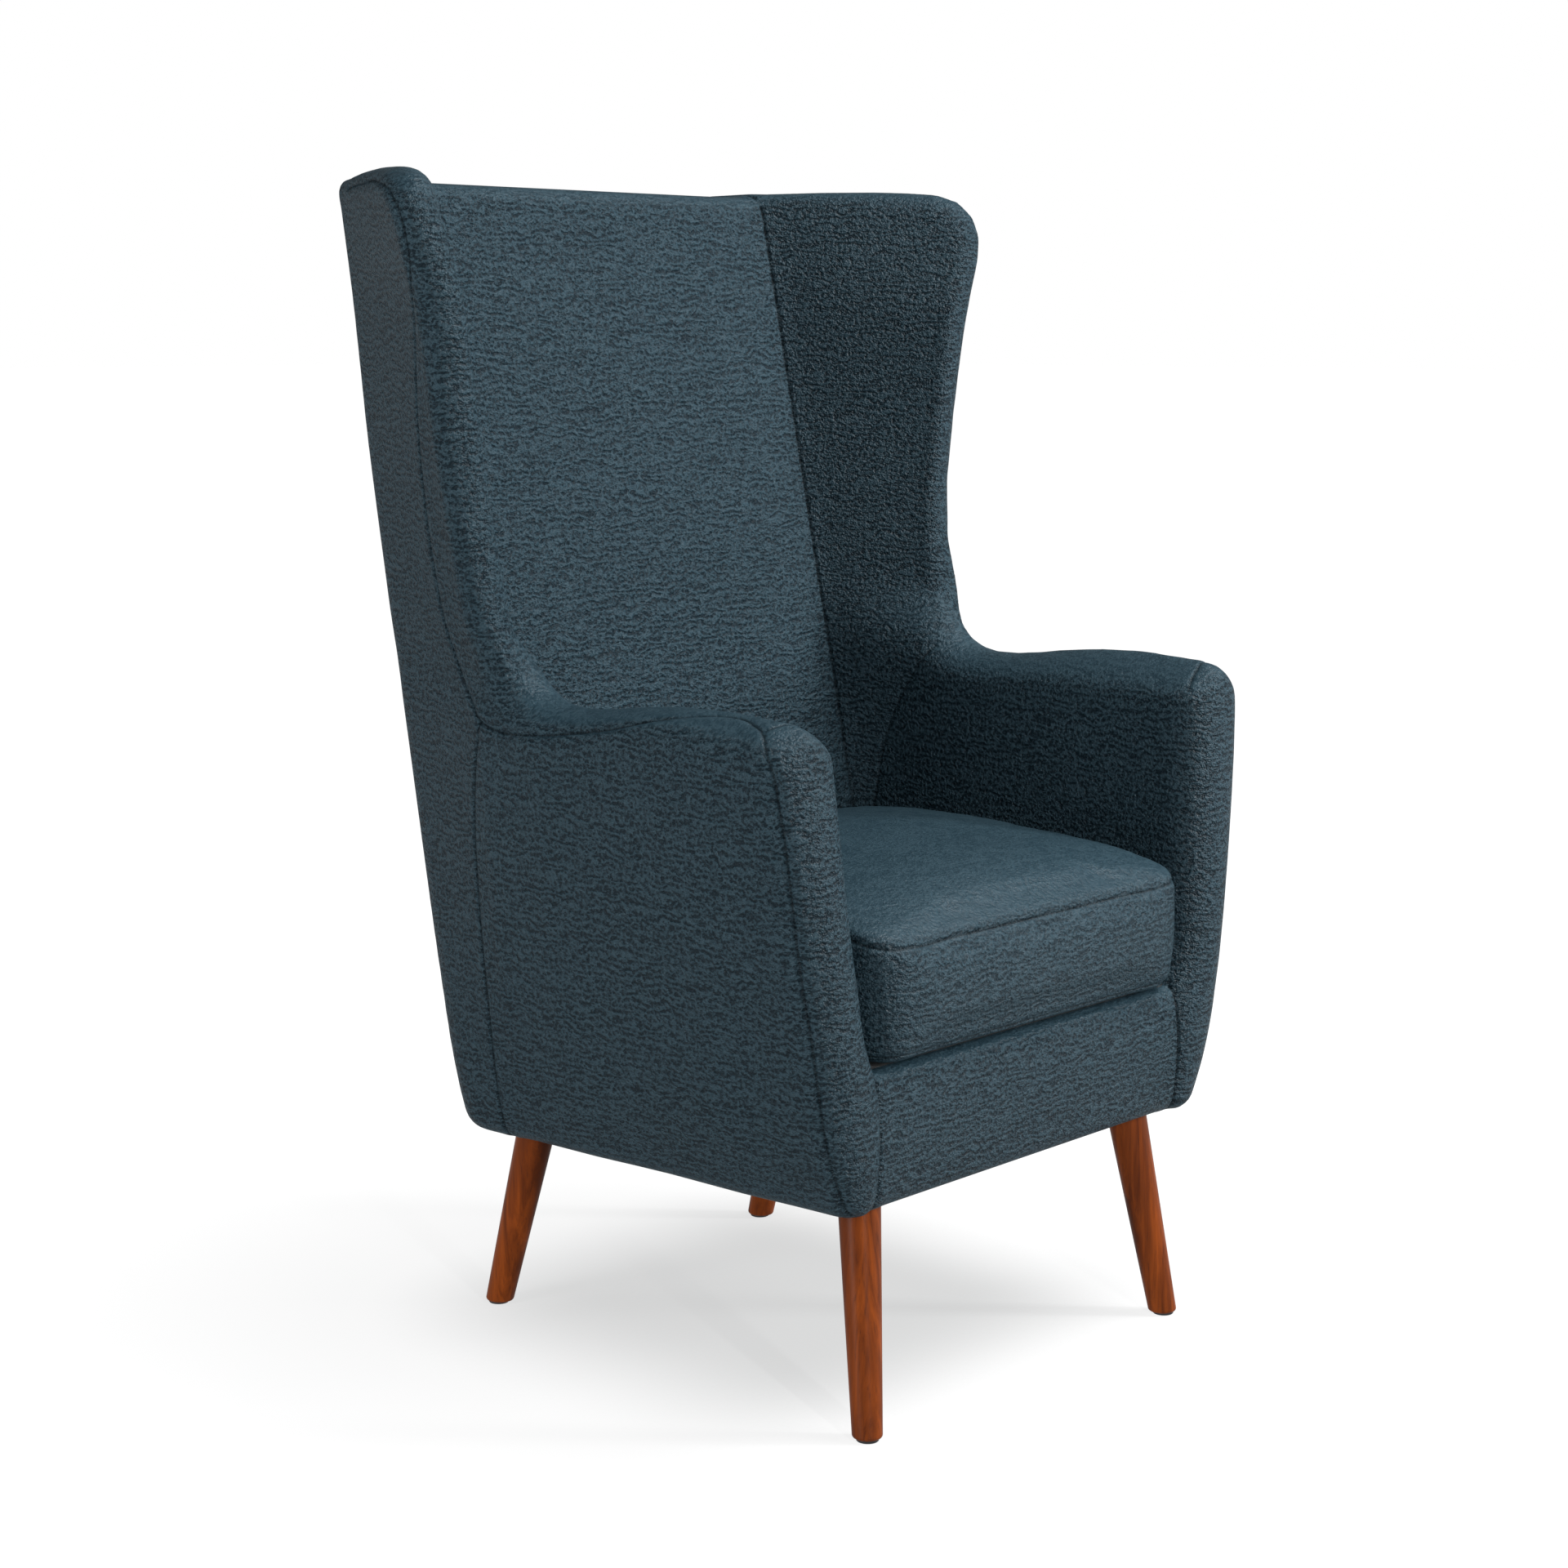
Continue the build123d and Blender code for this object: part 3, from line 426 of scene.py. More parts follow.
def split_by(source, label, names):
    """One object for each label, shaded as if the whole were still one mesh."""
    mesh = source.data
    co, out = coordinates(mesh), normals(mesh)
    shade = np.zeros(len(co), np.float32)
    mesh.attributes["seam"].data.foreach_get("value", shade)
    faces = [tuple(p.vertices) for p in mesh.polygons]
    pieces = {}
    for number, name in enumerate(names):
        chosen = [faces[i] for i in np.nonzero(label == number)[0]]
        used = np.unique(np.concatenate([np.array(f) for f in chosen]))
        place = {int(v): i for i, v in enumerate(used)}
        piece = new_mesh(name, co[used], [[place[v] for v in f] for f in chosen])
        piece.data.attributes.new("seam", "FLOAT", "POINT").data.foreach_set("value", shade[used])
        piece.data.normals_split_custom_set_from_vertices([tuple(n) for n in out[used]])
        pieces[name] = piece
    bpy.data.objects.remove(source)
    return pieces


# Materials
class Nodes:
    """A short way to write a material's nodes."""

    def __init__(self, name):
        self.material = bpy.data.materials.new(name)
        self.material.use_nodes = True
        self.tree = self.material.node_tree
        self.shader = self.tree.nodes["Principled BSDF"]
        self.coords = self.tree.nodes.new("ShaderNodeTexCoord").outputs["Object"]

    def add(self, kind, links=(), **values):
        node = self.tree.nodes.new(kind)
        for key, value in values.items():
            setattr(node, key, value)
        for socket, value in links:
            if isinstance(value, bpy.types.NodeSocket):
                self.tree.links.new(value, node.inputs[socket])
            else:
                node.inputs[socket].default_value = value
        return node

    def scaled(self, scale, source=None):
        return self.add("ShaderNodeMapping", [("Vector", source or self.coords), ("Scale", scale)]).outputs[0]

    def noise(self, vector, scale, detail=2.0, rough=0.5, distortion=0.0):
        links = [("Vector", vector), ("Scale", scale), ("Detail", detail), ("Roughness", rough)]
        links.append(("Distortion", distortion))
        return self.add("ShaderNodeTexNoise", links).outputs["Fac"]

    def spread(self, value, low, high, new_low=0.0, new_high=1.0):
        links = [("Value", value), ("From Min", low), ("From Max", high)]
        links += [("To Min", new_low), ("To Max", new_high)]
        return self.add("ShaderNodeMapRange", links).outputs[0]

    def math(self, operation, a, b=0.0):
        return self.add("ShaderNodeMath", [(0, a), (1, b)], operation=operation).outputs[0]

    def mix(self, share, a, b):
        node = self.add("ShaderNodeMix", data_type="RGBA")
        for socket, value in zip((node.inputs[0], node.inputs[6], node.inputs[7]), (share, a, b)):
            if isinstance(value, bpy.types.NodeSocket):
                self.tree.links.new(value, socket)
            else:
                socket.default_value = value if socket == node.inputs[0] else (*value, 1)
        return node.outputs[2]

    def bump(self, height, distance, strength=1.0):
        links = [("Height", height), ("Distance", distance), ("Strength", strength)]
        return self.add("ShaderNodeBump", links).outputs[0]

    def finish(self, color, normal=None, roughness=None, **fixed):
        for name, value in (("Base Color", color), ("Normal", normal), ("Roughness", roughness)):
            if value is None:
                continue
            if isinstance(value, bpy.types.NodeSocket):
                self.tree.links.new(value, self.shader.inputs[name])
            elif name == "Base Color":
                self.shader.inputs[name].default_value = (*value, 1)
            else:
                self.shader.inputs[name].default_value = value
        for name, value in fixed.items():
            self.shader.inputs[name.replace("_", " ")].default_value = value
        return self.material


def pebbled_cloth(name, calm):
    """Dark petrol upholstery with wavy raised ripples, wider than high, and painted shade in the ripples'
    valleys, strongest on upright faces. calm is 0 to 1.
    """
    n = Nodes(name)
    height_z = n.add("ShaderNodeSeparateXYZ", [(0, n.coords)]).outputs["Z"]
    bends = n.noise(n.scaled((36, 36, 56)), 1.0, 1.0, 0.5)
    wiggles = n.noise(n.scaled((120, 120, 150)), 1.0, 1.0, 0.5)
    pebbles = n.noise(n.scaled((280, 280, 400)), 1.0, 1.0, 0.5)
    grains = n.noise(n.scaled((640, 640, 760)), 1.0, 1.0, 0.5)
    fibres = n.noise(n.coords, 1700.0, 1.0)
    phase = n.math("ADD", n.math("MULTIPLY", height_z, 860.0), n.math("MULTIPLY", bends, 17.0))
    phase = n.math("ADD", phase, n.math("MULTIPLY", wiggles, 6.5))
    ripple = n.math("MULTIPLY", n.math("SINE", phase), 0.33)
    patches = n.spread(n.noise(n.scaled((30, 30, 60)), 1.0, 1.0), 0.35, 0.65, 0.35, 1.0)
    height = n.math("ADD", n.math("MULTIPLY", ripple, patches), n.math("MULTIPLY", pebbles, 2.1))
    height = n.math("ADD", height, n.math("MULTIPLY", grains, 1.1))
    facing = n.add("ShaderNodeNewGeometry").outputs["Normal"]
    facing = n.math("ABSOLUTE", n.add("ShaderNodeSeparateXYZ", [(0, facing)]).outputs["Z"])
    upright = n.spread(facing, 0.35, 0.85, 1.0, 0.35)
    normal = n.bump(n.math("MULTIPLY", height, upright), 0.0017 * (1 - 0.8 * calm), 1.0)
    large = n.spread(n.noise(n.coords, 4.0, 2.0), 0.3, 0.7)
    tone = n.mix(large, (0.0200, 0.0430, 0.0580), (0.0225, 0.0465, 0.0620))
    # Painted shade: the ripples' valleys take a darker colour, most on upright faces and less the calmer the
    # cloth.
    shaded_valley_share = n.spread(height, 1.28, 1.84)
    low = n.mix(n.math("MULTIPLY", upright, 0.90 - 0.9 * calm), tone, (0.0035, 0.0090, 0.0135))
    high = n.mix(n.spread(fibres, 0.35, 0.7, 0.0, 0.3), tone, (0.060, 0.086, 0.100))
    cloth = n.mix(shaded_valley_share, low, high)
    # The seam attribute is painted shade in the seam grooves: the cloth goes near black along them.
    seam = n.add("ShaderNodeAttribute", attribute_name="seam").outputs["Fac"]
    cloth = n.mix(n.math("MULTIPLY", seam, 0.85), cloth, (0.0008, 0.0018, 0.0028))
    rough = n.spread(fibres, 0.3, 0.7, 0.33 + 0.08 * calm, 0.42)
    return n.finish(cloth, normal, rough, Specular_IOR_Level=0.12)


def lacquered_wood(name):
    """Reddish brown wood, streaked along the leg, with a satin lacquer."""
    n = Nodes(name)
    streak = n.noise(n.scaled((95, 95, 5)), 1.0, 6.0, 0.62, 0.9)
    bands = n.noise(n.scaled((26, 26, 2.2)), 1.0, 3.0, 0.5, 0.6)
    pores = n.noise(n.scaled((620, 620, 26)), 1.0, 2.0)
    color = n.mix(n.spread(streak, 0.32, 0.68), (0.085, 0.017, 0.003), (0.25, 0.053, 0.007))
    color = n.mix(n.spread(bands, 0.42, 0.68, 0.0, 0.75), color, (0.070, 0.014, 0.003))
    color = n.mix(n.spread(pores, 0.58, 0.78, 0.0, 0.5), color, (0.04, 0.012, 0.006))
    rough = n.spread(streak, 0.3, 0.7, 0.36, 0.28)
    normal = n.bump(pores, 0.0002, 0.3)
    return n.finish(color, normal, rough, Coat_Weight=0.03, Coat_Roughness=0.2, Specular_IOR_Level=0.12)


def raw_wood(name):
    """Planed softwood of the frame."""
    n = Nodes(name)
    grain = n.noise(n.scaled((60, 9, 60)), 1.0, 5.0, 0.6, 0.7)
    color = n.mix(n.spread(grain, 0.3, 0.7), (0.36, 0.21, 0.10), (0.62, 0.42, 0.23))
    return n.finish(color, n.bump(grain, 0.0004, 0.4), 0.7)


def metal(name, color, rough):
    """Zinc or enamelled metal with fine scratches."""
    n = Nodes(name)
    scratches = n.noise(n.scaled((300, 300, 40)), 1.0, 4.0)
    worn = n.spread(scratches, 0.3, 0.7, rough, rough + 0.15)
    return n.finish(color, n.bump(scratches, 0.00008, 0.4), worn, Metallic=1.0)


def woven(name, color, thread, rough=0.85):
    """Plain weave in one colour: threads across each other, with slubs and painted shade where the weave
    dips.
    """
    n = Nodes(name)
    turn = n.add("ShaderNodeSeparateXYZ", [(0, n.coords)])
    waves = [n.math("SINE", n.math("MULTIPLY", turn.outputs[axis], 2 * math.pi / thread)) for axis in "XYZ"]
    height = n.math("MULTIPLY", n.math("ADD", waves[0], waves[2]), waves[1])
    slubs = n.noise(n.coords, 220.0, 3.0)
    shade = n.mix(n.spread(slubs, 0.3, 0.7), tuple(0.65 * c for c in color), tuple(1.25 * c for c in color))
    # Painted shade: the low parts of the weave are coloured darker.
    shade = n.mix(n.spread(height, -1.0, 1.0, 0.35, 0.0), shade, tuple(0.2 * c for c in color))
    return n.finish(shade, n.bump(height, thread / 5, 0.6), rough, Sheen_Weight=0.1)


def plastic(name, color):
    """Moulded plastic with a fine spark texture."""
    n = Nodes(name)
    return n.finish(color, n.bump(n.noise(n.coords, 2500.0, 2.0), 0.0001, 0.5), 0.5)


def foam(name):
    """Open cell foam."""
    n = Nodes(name)
    cells = n.noise(n.coords, 900.0, 3.0)
    return n.finish(n.mix(cells, (0.5, 0.45, 0.32), (0.75, 0.7, 0.55)), n.bump(cells, 0.0006, 0.8), 0.95)


materials = {
    "upholstery": pebbled_cloth("upholstery", 0.0),
    "padding": foam("foam"),
    "leg_wood": lacquered_wood("leg wood"),
    "frame_wood": raw_wood("frame wood"),
    "steel": metal("zinc steel", (0.56, 0.57, 0.58), 0.3),
    "webbing": woven("webbing", (0.16, 0.12, 0.07), 0.002),
    "underside_cloth": woven("underside cloth", (0.016, 0.017, 0.018), 0.0012),
    "glide_plastic": plastic("glide plastic", (0.012, 0.012, 0.013)),
    "zip_textile": woven("zip tape", (0.016, 0.032, 0.042), 0.0011),
}
cushion_cloth = pebbled_cloth("cushion upholstery", 0.15)


def dress(piece, slot, body, material=None):
    """Material and body of a new piece; the slot picks the material when none is given."""
    piece.data.materials.clear()
    piece.data.materials.append(material or materials[slot])
    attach(piece, body)
    return piece


# Materials of the CAD nodes that are shown as they are
slots = {part["node"]: part["material_slot"] for part in frame["record"]["subparts"]}
for node, thing in frame["nodes"].items():
    thing.data.materials.clear()
    thing.data.materials.append(materials[slots[node]])

# The upholstered body as one surface, sewn, then divided at its seams
step = 0.005
body_low, body_high = (0, -0.345, BOTTOM - 3 * step), (0.415, 0.35, 1.115)
field, origin = sampled(body_slice, body_low, body_high, step)
solid = Field(field, origin, step)
points, quads = surface(field, origin, step)
shell = new_mesh("shell", points, quads)
smooth(shell.data, 1, 0.5)


def on_side(keys):
    """A seam on the outside of a side, from (y, z) keys."""
    return both_sides([solid.pierce((0.41, y, z), (-1, 0, 0)) for y, z in dense(keys)])


def on_inside(keys):
    """A seam on the inner face of a side, from (y, z) keys."""
    return both_sides([solid.pierce((0.12, y, z), (1, 0, 0)) for y, z in dense(keys)])


wing_seam, panel_seam, rear_seam = on_side(WING_SEAM), on_side(PANEL_SEAM), on_side(REAR_SEAM)
inner_seam = on_inside(INNER_SEAM)
top_seam = both_sides([solid.pierce((x, 0.4, TOP_SEAM_Z), (0, -1, 0)) for x in np.arange(0, 0.272, SEAM_GAP)])
back_heights = np.arange(BACK_FOOT_Z, TOP_SEAM_Z, SEAM_GAP)
back_seam = both_sides([solid.pierce((BACK_HALF - 0.001, -0.05, z), (0, 1, 0)) for z in back_heights])
back_seam_top = both_sides([
    solid.pierce((BACK_HALF - 0.001, y, 1.2), (0, 0, -1)) for y in np.arange(0.245, 0.325, SEAM_GAP)
])
border_seam = both_sides([
    solid.pierce((BORDER_X, -0.4, z), (0, 1, 0)) for z in np.arange(BOTTOM + 0.004, SEAT_TOP, SEAM_GAP)
])
across_arm = np.arange(0.266, 0.3225, SEAM_GAP)
cross_seam = both_sides([
    solid.pierce((x, -0.279 + 0.25 * (x - 0.316), 0.72), (0, 0, -1)) for x in across_arm
])
# Each seam with its depth and the height of the swelling beside it
seams = (
    (wing_seam, 0.0021, 0.0006), (panel_seam, 0.0019, 0.0008), (rear_seam, 0.0018, 0.0004),
    (inner_seam, 0.0010, 0.0003), (top_seam, 0.0018, 0.0005),
    (np.concatenate([back_seam, back_seam_top]), 0.0020, 0.0005),
    (border_seam, 0.0021, 0.0006), (cross_seam, 0.0016, 0.0004),
)
every_seam = np.concatenate([s[0] for s in seams])
refine(shell.data, every_seam, ((0.014, 0.0065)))
sew(shell.data, seams)


COVERS = (
    "inside_back", "front_border", "left_wing", "right_wing", "left_arm_outside", "right_arm_outside",
    "left_arm", "right_arm", "outside_back", "seat_deck", "underside",
)
# Places in COVERS. The right one of a pair comes just after the left one.
INSIDE_BACK, FRONT_BORDER, OUTSIDE_BACK, SEAT_DECK, UNDERSIDE = 0, 1, 8, 9, 10
LEFT_WING, LEFT_ARM_OUTSIDE, LEFT_ARM = 2, 4, 6


def in_outline(points, keys):
    """Which (y, z) points lie inside a closed outline."""
    return polygon_distance(points[:, 1], points[:, 2], keys) < 0


def regions(points):
    """Place in COVERS of the cover that each point of the body belongs to."""
    x, y, z = np.abs(points[:, 0]), points[:, 1], points[:, 2]
    side = (points[:, 0] < 0).astype(int)
    heights = np.arange(0.19, 1.12, 0.005)
    frames = [wing_frame(h) for h in heights]
    tip_x, tip_y = (np.interp(z, heights, [f[0][i] for f in frames]) for i in (0, 1))
    normal_x, normal_y = (np.interp(z, heights, [f[3][i] for f in frames]) for i in (0, 1))
    middle = (track(z, ARM_IN) + track(z, OUT_FRONT)) / 2
    wing_outer = ((x - tip_x) * normal_x + (y - tip_y) * normal_y > 0) | (y > (inside_y(z) + rear_y(z)) / 2)
    outer = np.where(z > JUNCTION_Z, wing_outer, (x > middle) | (y > (inside_y(z) + rear_y(z)) / 2))
    rear_line = [(0.096, 0.10), *dense(REAR_SEAM, 0.01)[::-1]]
    behind = in_outline(points, [*dense(WING_SEAM, 0.01), (0.45, TOP_SEAM_Z), (0.45, 0.10), *rear_line])
    panel = in_outline(points, [*dense(PANEL_SEAM, 0.01), (-0.309, 0.10), *rear_line])
    inner_line = [*dense(INNER_SEAM, 0.01), (0.086, 0.10)]
    arm = in_outline(points, [(-0.5, 0.10), (-0.5, 0.8), (0.034, 0.8), (0.034, 0.645), *inner_line])
    label = np.where(arm, LEFT_ARM + side, LEFT_WING + side)
    label = np.where(outer & panel, LEFT_ARM_OUTSIDE + side, label)
    label = np.where(outer & behind, OUTSIDE_BACK, label)
    middle_part = (x < BACK_HALF - 0.001) & (z > BACK_FOOT_Z)
    back_half = (y > (inside_y(z) + rear_y(z)) / 2) & (z < TOP_SEAM_Z)
    label = np.where(middle_part, np.where(back_half, OUTSIDE_BACK, INSIDE_BACK), label)
    front = (x < BORDER_X) & (z < SEAT_TOP - 0.004) & (y < -0.25)
    deck = (x < BORDER_X) & (z < SEAT_TOP + 0.003) & (y < inside_y(z) + 0.01)
    label = np.where(deck, SEAT_DECK, label)
    label = np.where((label == SEAT_DECK) & (front | (y < -0.300)), FRONT_BORDER, label)
    label = np.where((x < 0.2) & (z < BACK_FOOT_Z) & (y > 0.1), OUTSIDE_BACK, label)
    return np.where(z < BOTTOM + 0.0008, UNDERSIDE, label)


mesh = shell.data
centres = np.zeros(len(mesh.polygons) * 3)
mesh.polygons.foreach_get("center", centres)
covers = split_by(shell, regions(centres.reshape(-1, 3)), COVERS)

# The CAD nodes that each upholstered piece takes the place of
STANDS_FOR = {
    "inside_back": ("inside_back_cover", "back_padding"),
    "front_border": ("front_border_cover", "front_border_padding"),
    "left_wing": ("left_wing_cover", "left_wing_padding"),
    "right_wing": ("right_wing_cover", "right_wing_padding"),
    "left_arm_outside": ("left_arm_outside_cover",),
    "right_arm_outside": ("right_arm_outside_cover",),
    "left_arm": ("left_arm_cover", "left_arm_padding"),
    "right_arm": ("right_arm_cover", "right_arm_padding"),
    "outside_back": ("outside_back_cover", "left_back_side_padding", "right_back_side_padding"),
    "seat_deck": ("seat_deck_cover", "seat_deck_pad"),
}
for name, nodes in STANDS_FOR.items():
    cloth = "underside_cloth" if name == "seat_deck" else "upholstery"
    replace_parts(dress(covers[name], cloth, "chair"), *nodes)
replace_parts(dress(covers["underside"], "underside_cloth", "chair"), "dust_cover")

# Seat cushion
CUSHION_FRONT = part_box("seat_cushion_cover")[0].y
CUSHION_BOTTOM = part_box("seat_cushion_cover")[0].z + 0.0015
CUSHION_CORNER = 0.036
CUSHION_HALF = ((0.32, 0.219), (0.345, 0.224), (0.385, 0.227), (0.43, 0.2285), (0.46, 0.228), (0.50, 0.224))
# Height of the cushion's upper edge, as (y, z)
SIDE_TOP = ((-0.33, 0.4395), (-0.31, 0.4435), (-0.264, 0.4530), (-0.165, 0.4610), (-0.06, 0.4660),
            (0.047, 0.4640), (0.10, 0.4590), (0.14, 0.4500))
CROWN = 0.020
MOST_HALF = 0.2300  # widest half that fits between the arms


def cushion_slice(z, x, y):
    """Distance to the seat cushion at a height, for the +X half."""
    half = float(track(z, CUSHION_HALF))
    belly = 0.0035 * math.sin(math.pi * min(max((z - CUSHION_BOTTOM) / 0.11, 0), 1))
    front = CUSHION_FRONT + 0.004 - belly
    rear = inside_y(z) - (0.0165 if z < 0.436 else 0.006)
    inner_x, middle_y, half_y = half - CUSHION_CORNER, (front + rear) / 2, (rear - front) / 2 - CUSHION_CORNER
    qx, qy = np.abs(x) - inner_x, np.abs(y - middle_y) - half_y
    plan = np.hypot(np.maximum(qx, 0), np.maximum(qy, 0)) + np.minimum(np.maximum(qx, qy), 0) - CUSHION_CORNER
    along = np.clip((y - CUSHION_FRONT) / 0.42, 0, 1)
    crown = CROWN * (1 - np.minimum(np.abs(x) / 0.235, 1) ** 2.2)
    crown = crown * np.clip(np.sin(math.pi * along**0.8), 0, 1) ** 0.75
    top = track(y, SIDE_TOP) + crown
    return round_join(round_join(plan, z - top, 0.010), np.full_like(x, CUSHION_BOTTOM - z), 0.013)


def puffed(piece, frames=20, pressure=2.2, cap=0.004):
    """Lets air pressure fill a closed cloth form a little, with no gravity."""
    before = coordinates(piece.data)
    cloth = piece.modifiers.new("cloth", "CLOTH")
    settings = cloth.settings
    settings.use_pressure = True
    settings.uniform_pressure_force = pressure
    settings.effector_weights.gravity = 0
    settings.quality = 4
    settings.mass = 0.3
    settings.tension_stiffness = settings.compression_stiffness = 25
    settings.bending_stiffness = 2
    cloth.collision_settings.use_collision = False
    cloth.point_cache.frame_start, cloth.point_cache.frame_end = 1, frames
    scene = bpy.context.scene
    for number in range(1, frames + 1):
        scene.frame_set(number)
    shaped = piece.evaluated_get(bpy.context.evaluated_depsgraph_get())
    after = coordinates(shaped.to_mesh())
    shaped.to_mesh_clear()
    piece.modifiers.remove(cloth)
    scene.frame_set(1)
    move = after - before
    size = np.linalg.norm(move, axis=1, keepdims=True)
    move *= np.minimum(1, cap / np.maximum(size, 1e-9))
    move[:, 1] = np.where(before[:, 1] > inside_y(before[:, 2]) - 0.03, np.minimum(move[:, 1], 0), move[:, 1])
    move[:, 2] = np.where(before[:, 2] < CUSHION_BOTTOM + 0.01, np.maximum(move[:, 2], 0), move[:, 2])
    wide = np.maximum(np.abs(before[:, 0] + move[:, 0]) - MOST_HALF, 0)
    move[:, 0] -= np.sign(before[:, 0]) * wide
    piece.data.vertices.foreach_set("co", (before + move).ravel())
    piece.data.update()


low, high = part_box("seat_cushion_cover")
margin = 4 * step
field, origin = sampled(
    cushion_slice, (0, low.y - margin, low.z - margin), (high.x + margin, high.y + margin, 0.52), step
)
points, quads = surface(field, origin, step)
cushion = new_mesh("seat_cushion", points, quads)
smooth(cushion.data, 2, 0.5)
puffed(cushion)
smooth(cushion.data, 2, 0.5)


def ring(height_of):
    """Points around the cushion at a height that may change along it, on its surface."""
    out = []
    solid = Field(field, origin, step)
    centre_y = (low.y + high.y) / 2
    for turn in np.linspace(0, 2 * math.pi, 900, endpoint=False):
        way = np.array([math.cos(turn), math.sin(turn), 0])
        start = np.array([0, centre_y, 0]) + way * 0.4
        point = solid.pierce((start[0], start[1], height_of(start[1])), -way)
        if point is not None:
            point = solid.pierce((start[0], start[1], height_of(point[1])), -way)
        if point is not None:
            out.append(point)
    return np.array(out)


def on_mesh(mesh, seam):
    """Moves seam points onto the surface of a mesh."""
    faces = [tuple(p.vertices) for p in mesh.polygons]
    tree = BVHTree.FromPolygons([tuple(c) for c in coordinates(mesh)], faces)
    return np.array([tuple(tree.find_nearest(tuple(p))[0]) for p in seam])


top_ring = on_mesh(cushion.data, ring(lambda y: float(track(y, SIDE_TOP)) - 0.0055))
low_ring = on_mesh(cushion.data, ring(lambda y: CUSHION_BOTTOM + 0.006))
cushion_seams = ((top_ring, 0.0019, 0.0009), (low_ring, 0.0016, 0.0006))
refine(cushion.data, np.concatenate([top_ring, low_ring]), ((0.012, 0.006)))
sew(cushion.data, cushion_seams)
dress(cushion, "upholstery", "seat_cushion", cushion_cloth)
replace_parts(cushion, "seat_cushion_cover", "seat_cushion_core")


# Zip in the back of the cushion
def on_back(x, up, out):
    """A point on the cushion's back face: along the zip, up the face and out from it."""
    lean = math.atan(BACK_LEAN)
    low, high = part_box("zip_tape")
    middle = (low + high) / 2
    return (
        x,
        middle.y + up * math.sin(lean) + out * math.cos(lean),
        middle.z + up * math.cos(lean) - out * math.sin(lean),
    )


# Sections in (up the face, out from it), for one half of the zip
TAPE_SECTION = (
    (0.0005, 0.0008), (0.004, 0.0006), (0.0095, 0.0002),
    (0.0128, -0.0002), (0.0128, -0.0008), (0.0005, -0.0004),
)
COIL_BEND = (
    (0.0023, 0.0006), (0.0008, 0.0005), (-0.0003, 0.0009),
    (-0.0003, 0.0016), (0.0008, 0.0020), (0.0023, 0.0016),
)
COLUMNS, CORNERS = 200, len(TAPE_SECTION)
PITCH, WIRE, SIDES = 0.0016, 0.00042, 6

tape_low, tape_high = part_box("zip_tape")
points, faces = [], []
for half in (-1, 1):
    start = len(points)
    for i in range(COLUMNS + 1):
        x = tape_low.x + (tape_high.x - tape_low.x) * i / COLUMNS
        for up, out in TAPE_SECTION:
            points.append(on_back(x, half * up, out + 0.00012 * math.sin(x * 900)))
    for i in range(COLUMNS):
        for j in range(CORNERS):
            a, b = start + i * CORNERS + j, start + i * CORNERS + (j + 1) % CORNERS
            faces.append((a, b, b + CORNERS, a + CORNERS) if half > 0 else (a + CORNERS, b + CORNERS, b, a))
tape = new_mesh("zip_tapes", points, faces)
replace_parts(dress(tape, "zip_textile", "seat_cushion"), "zip_tape")

coil_low, coil_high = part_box("zip_coil")
points, faces = [], []
for half in (-1, 1):
    place = coil_low.x + (PITCH / 2 if half > 0 else 0)
    while place < coil_high.x:
        base = len(points)
        for up, out in COIL_BEND:
            for k in range(SIDES):
                a = 2 * math.pi * k / SIDES
                points.append(on_back(place + WIRE * math.cos(a), half * up, out + WIRE * math.sin(a)))
        for j in range(len(COIL_BEND) - 1):
            for k in range(SIDES):
                a, b = base + j * SIDES + k, base + j * SIDES + (k + 1) % SIDES
                faces.append((a, b, b + SIDES, a + SIDES))
        place += PITCH
coil = new_mesh("zip_teeth", points, faces)
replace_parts(dress(coil, "zip_textile", "seat_cushion", materials["glide_plastic"]), "zip_coil")

# Floor and light
SHADOW_SQUARE_HALF = 0.12  # half of the square under the chair where the painted shadow on the paper is darkest
SOFT_REACH, FAR_REACH = 0.26, 0.9  # from that square: the end of the soft painted shadow, and where the paper is white
FLOOR_ON_CHAIR, WORLD_ON_CHAIR = 0.35, 0.16  # shares of the floor's glow and the world that light the chair
floor = bpy.data.objects.new("floor", bpy.data.meshes.new("floor"))
floor.data.from_pydata([(-60, -60, 0), (60, -60, 0), (60, 60, 0), (-60, 60, 0)], [], [(0, 1, 2, 3)])
bpy.context.scene.collection.objects.link(floor)
paper = Nodes("paper")
# The paper's glow carries a painted soft shadow under the chair, measured from a square inside its legs.
away = paper.add("ShaderNodeVectorMath", [(0, paper.coords)], operation="ABSOLUTE").outputs[0]
corner = (SHADOW_SQUARE_HALF, SHADOW_SQUARE_HALF, 0.0)
away = paper.add("ShaderNodeVectorMath", [(0, away), (1, corner)], operation="SUBTRACT").outputs[0]
away = paper.add("ShaderNodeVectorMath", [(0, away), (1, (0, 0, 0))], operation="MAXIMUM").outputs[0]
reach = paper.add("ShaderNodeVectorMath", [(0, away)], operation="LENGTH").outputs["Value"]
share = paper.add("ShaderNodeMapRange", [("Value", reach), ("From Min", 0.0), ("From Max", SOFT_REACH)])
share.interpolation_type = "SMOOTHSTEP"
# Painted shadow: the glow is lower under the chair and higher farther out.
shadowed_glow = paper.mix(share.outputs[0], (0.60, 0.603, 0.603), (0.87, 0.87, 0.87))
shadowed_glow = paper.mix(paper.spread(reach, SOFT_REACH, FAR_REACH), shadowed_glow, (1.03, 1.03, 1.03))
paper.tree.links.new(shadowed_glow, paper.shader.inputs["Emission Color"])
grain = paper.noise(paper.coords, 260.0, 2.0)
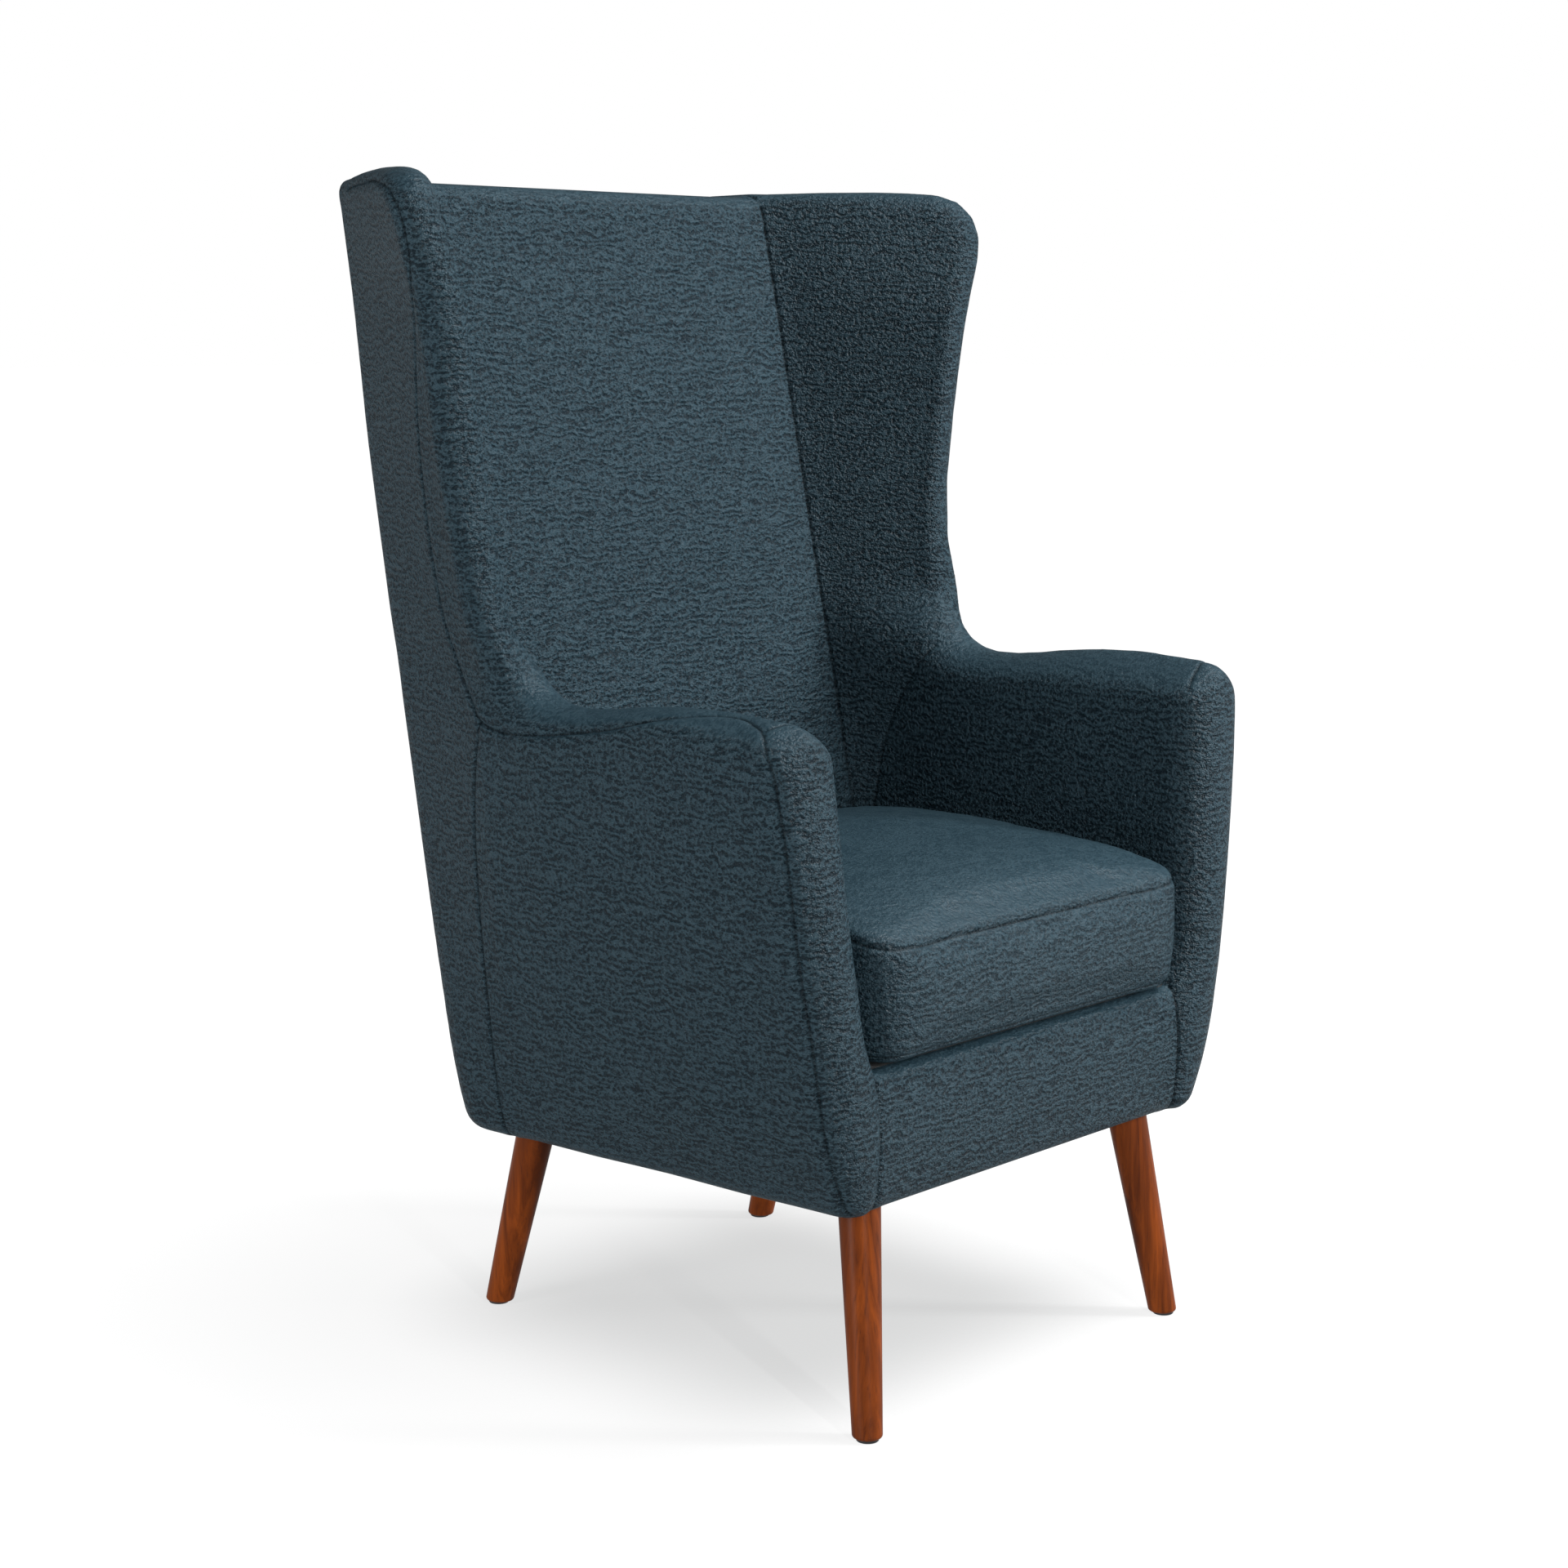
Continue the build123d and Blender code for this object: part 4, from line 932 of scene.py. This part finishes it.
tone = paper.mix(paper.spread(grain, 0.3, 0.7), (0.13, 0.13, 0.13), (0.14, 0.14, 0.14))
paper.finish(tone, None, 0.95, Specular_IOR_Level=0.0)
# The camera sees the whole glow and the chair gets less of it.
seen = paper.add("ShaderNodeLightPath").outputs["Is Camera Ray"]
glow_share = paper.spread(seen, 0.0, 1.0, FLOOR_ON_CHAIR, 1.0)
paper.tree.links.new(glow_share, paper.shader.inputs["Emission Strength"])
floor.data.materials.append(paper.material)

# The world looks white to the camera and lights the chair more softly.
world = bpy.data.worlds.new("studio")
bpy.context.scene.world = world
world.use_nodes = True
tree = world.node_tree
soft = tree.nodes["Background"]
soft.inputs["Color"].default_value = (0.92, 0.97, 1.0, 1)
soft.inputs["Strength"].default_value = WORLD_ON_CHAIR
white = tree.nodes.new("ShaderNodeBackground")
white.inputs["Color"].default_value = (1, 1, 1, 1)
white.inputs["Strength"].default_value = 1.0
switch = tree.nodes.new("ShaderNodeMixShader")
tree.links.new(tree.nodes.new("ShaderNodeLightPath").outputs["Is Camera Ray"], switch.inputs[0])
tree.links.new(soft.outputs[0], switch.inputs[1])
tree.links.new(white.outputs[0], switch.inputs[2])
tree.links.new(switch.outputs[0], tree.nodes["World Output"].inputs["Surface"])


def softbox(name, place, target, size, power):
    """A rectangular studio light aimed at a point."""
    data = bpy.data.lights.new(name, "AREA")
    data.shape, data.energy = "RECTANGLE", power
    data.size, data.size_y = size
    light = bpy.data.objects.new(name, data)
    bpy.context.scene.collection.objects.link(light)
    light.location = place
    light.rotation_euler = (Vector(target) - Vector(place)).to_track_quat("-Z", "Y").to_euler()


softbox("key", (2.3, -2.9, 1.5), (0, 0, 0.6), (0.45, 1.3), 140)
softbox("above", (1.1, -1.2, 3.0), (0, 0, 0.5), (1.3, 1.3), 92)
softbox("strip", (-1.35, -2.9, 1.35), (0, 0, 0.8), (0.08, 1.4), 58)
softbox("side", (-3.1, 0.55, 0.9), (0, 0, 0.6), (1.0, 1.6), 66)

bpy.context.view_layer.update()
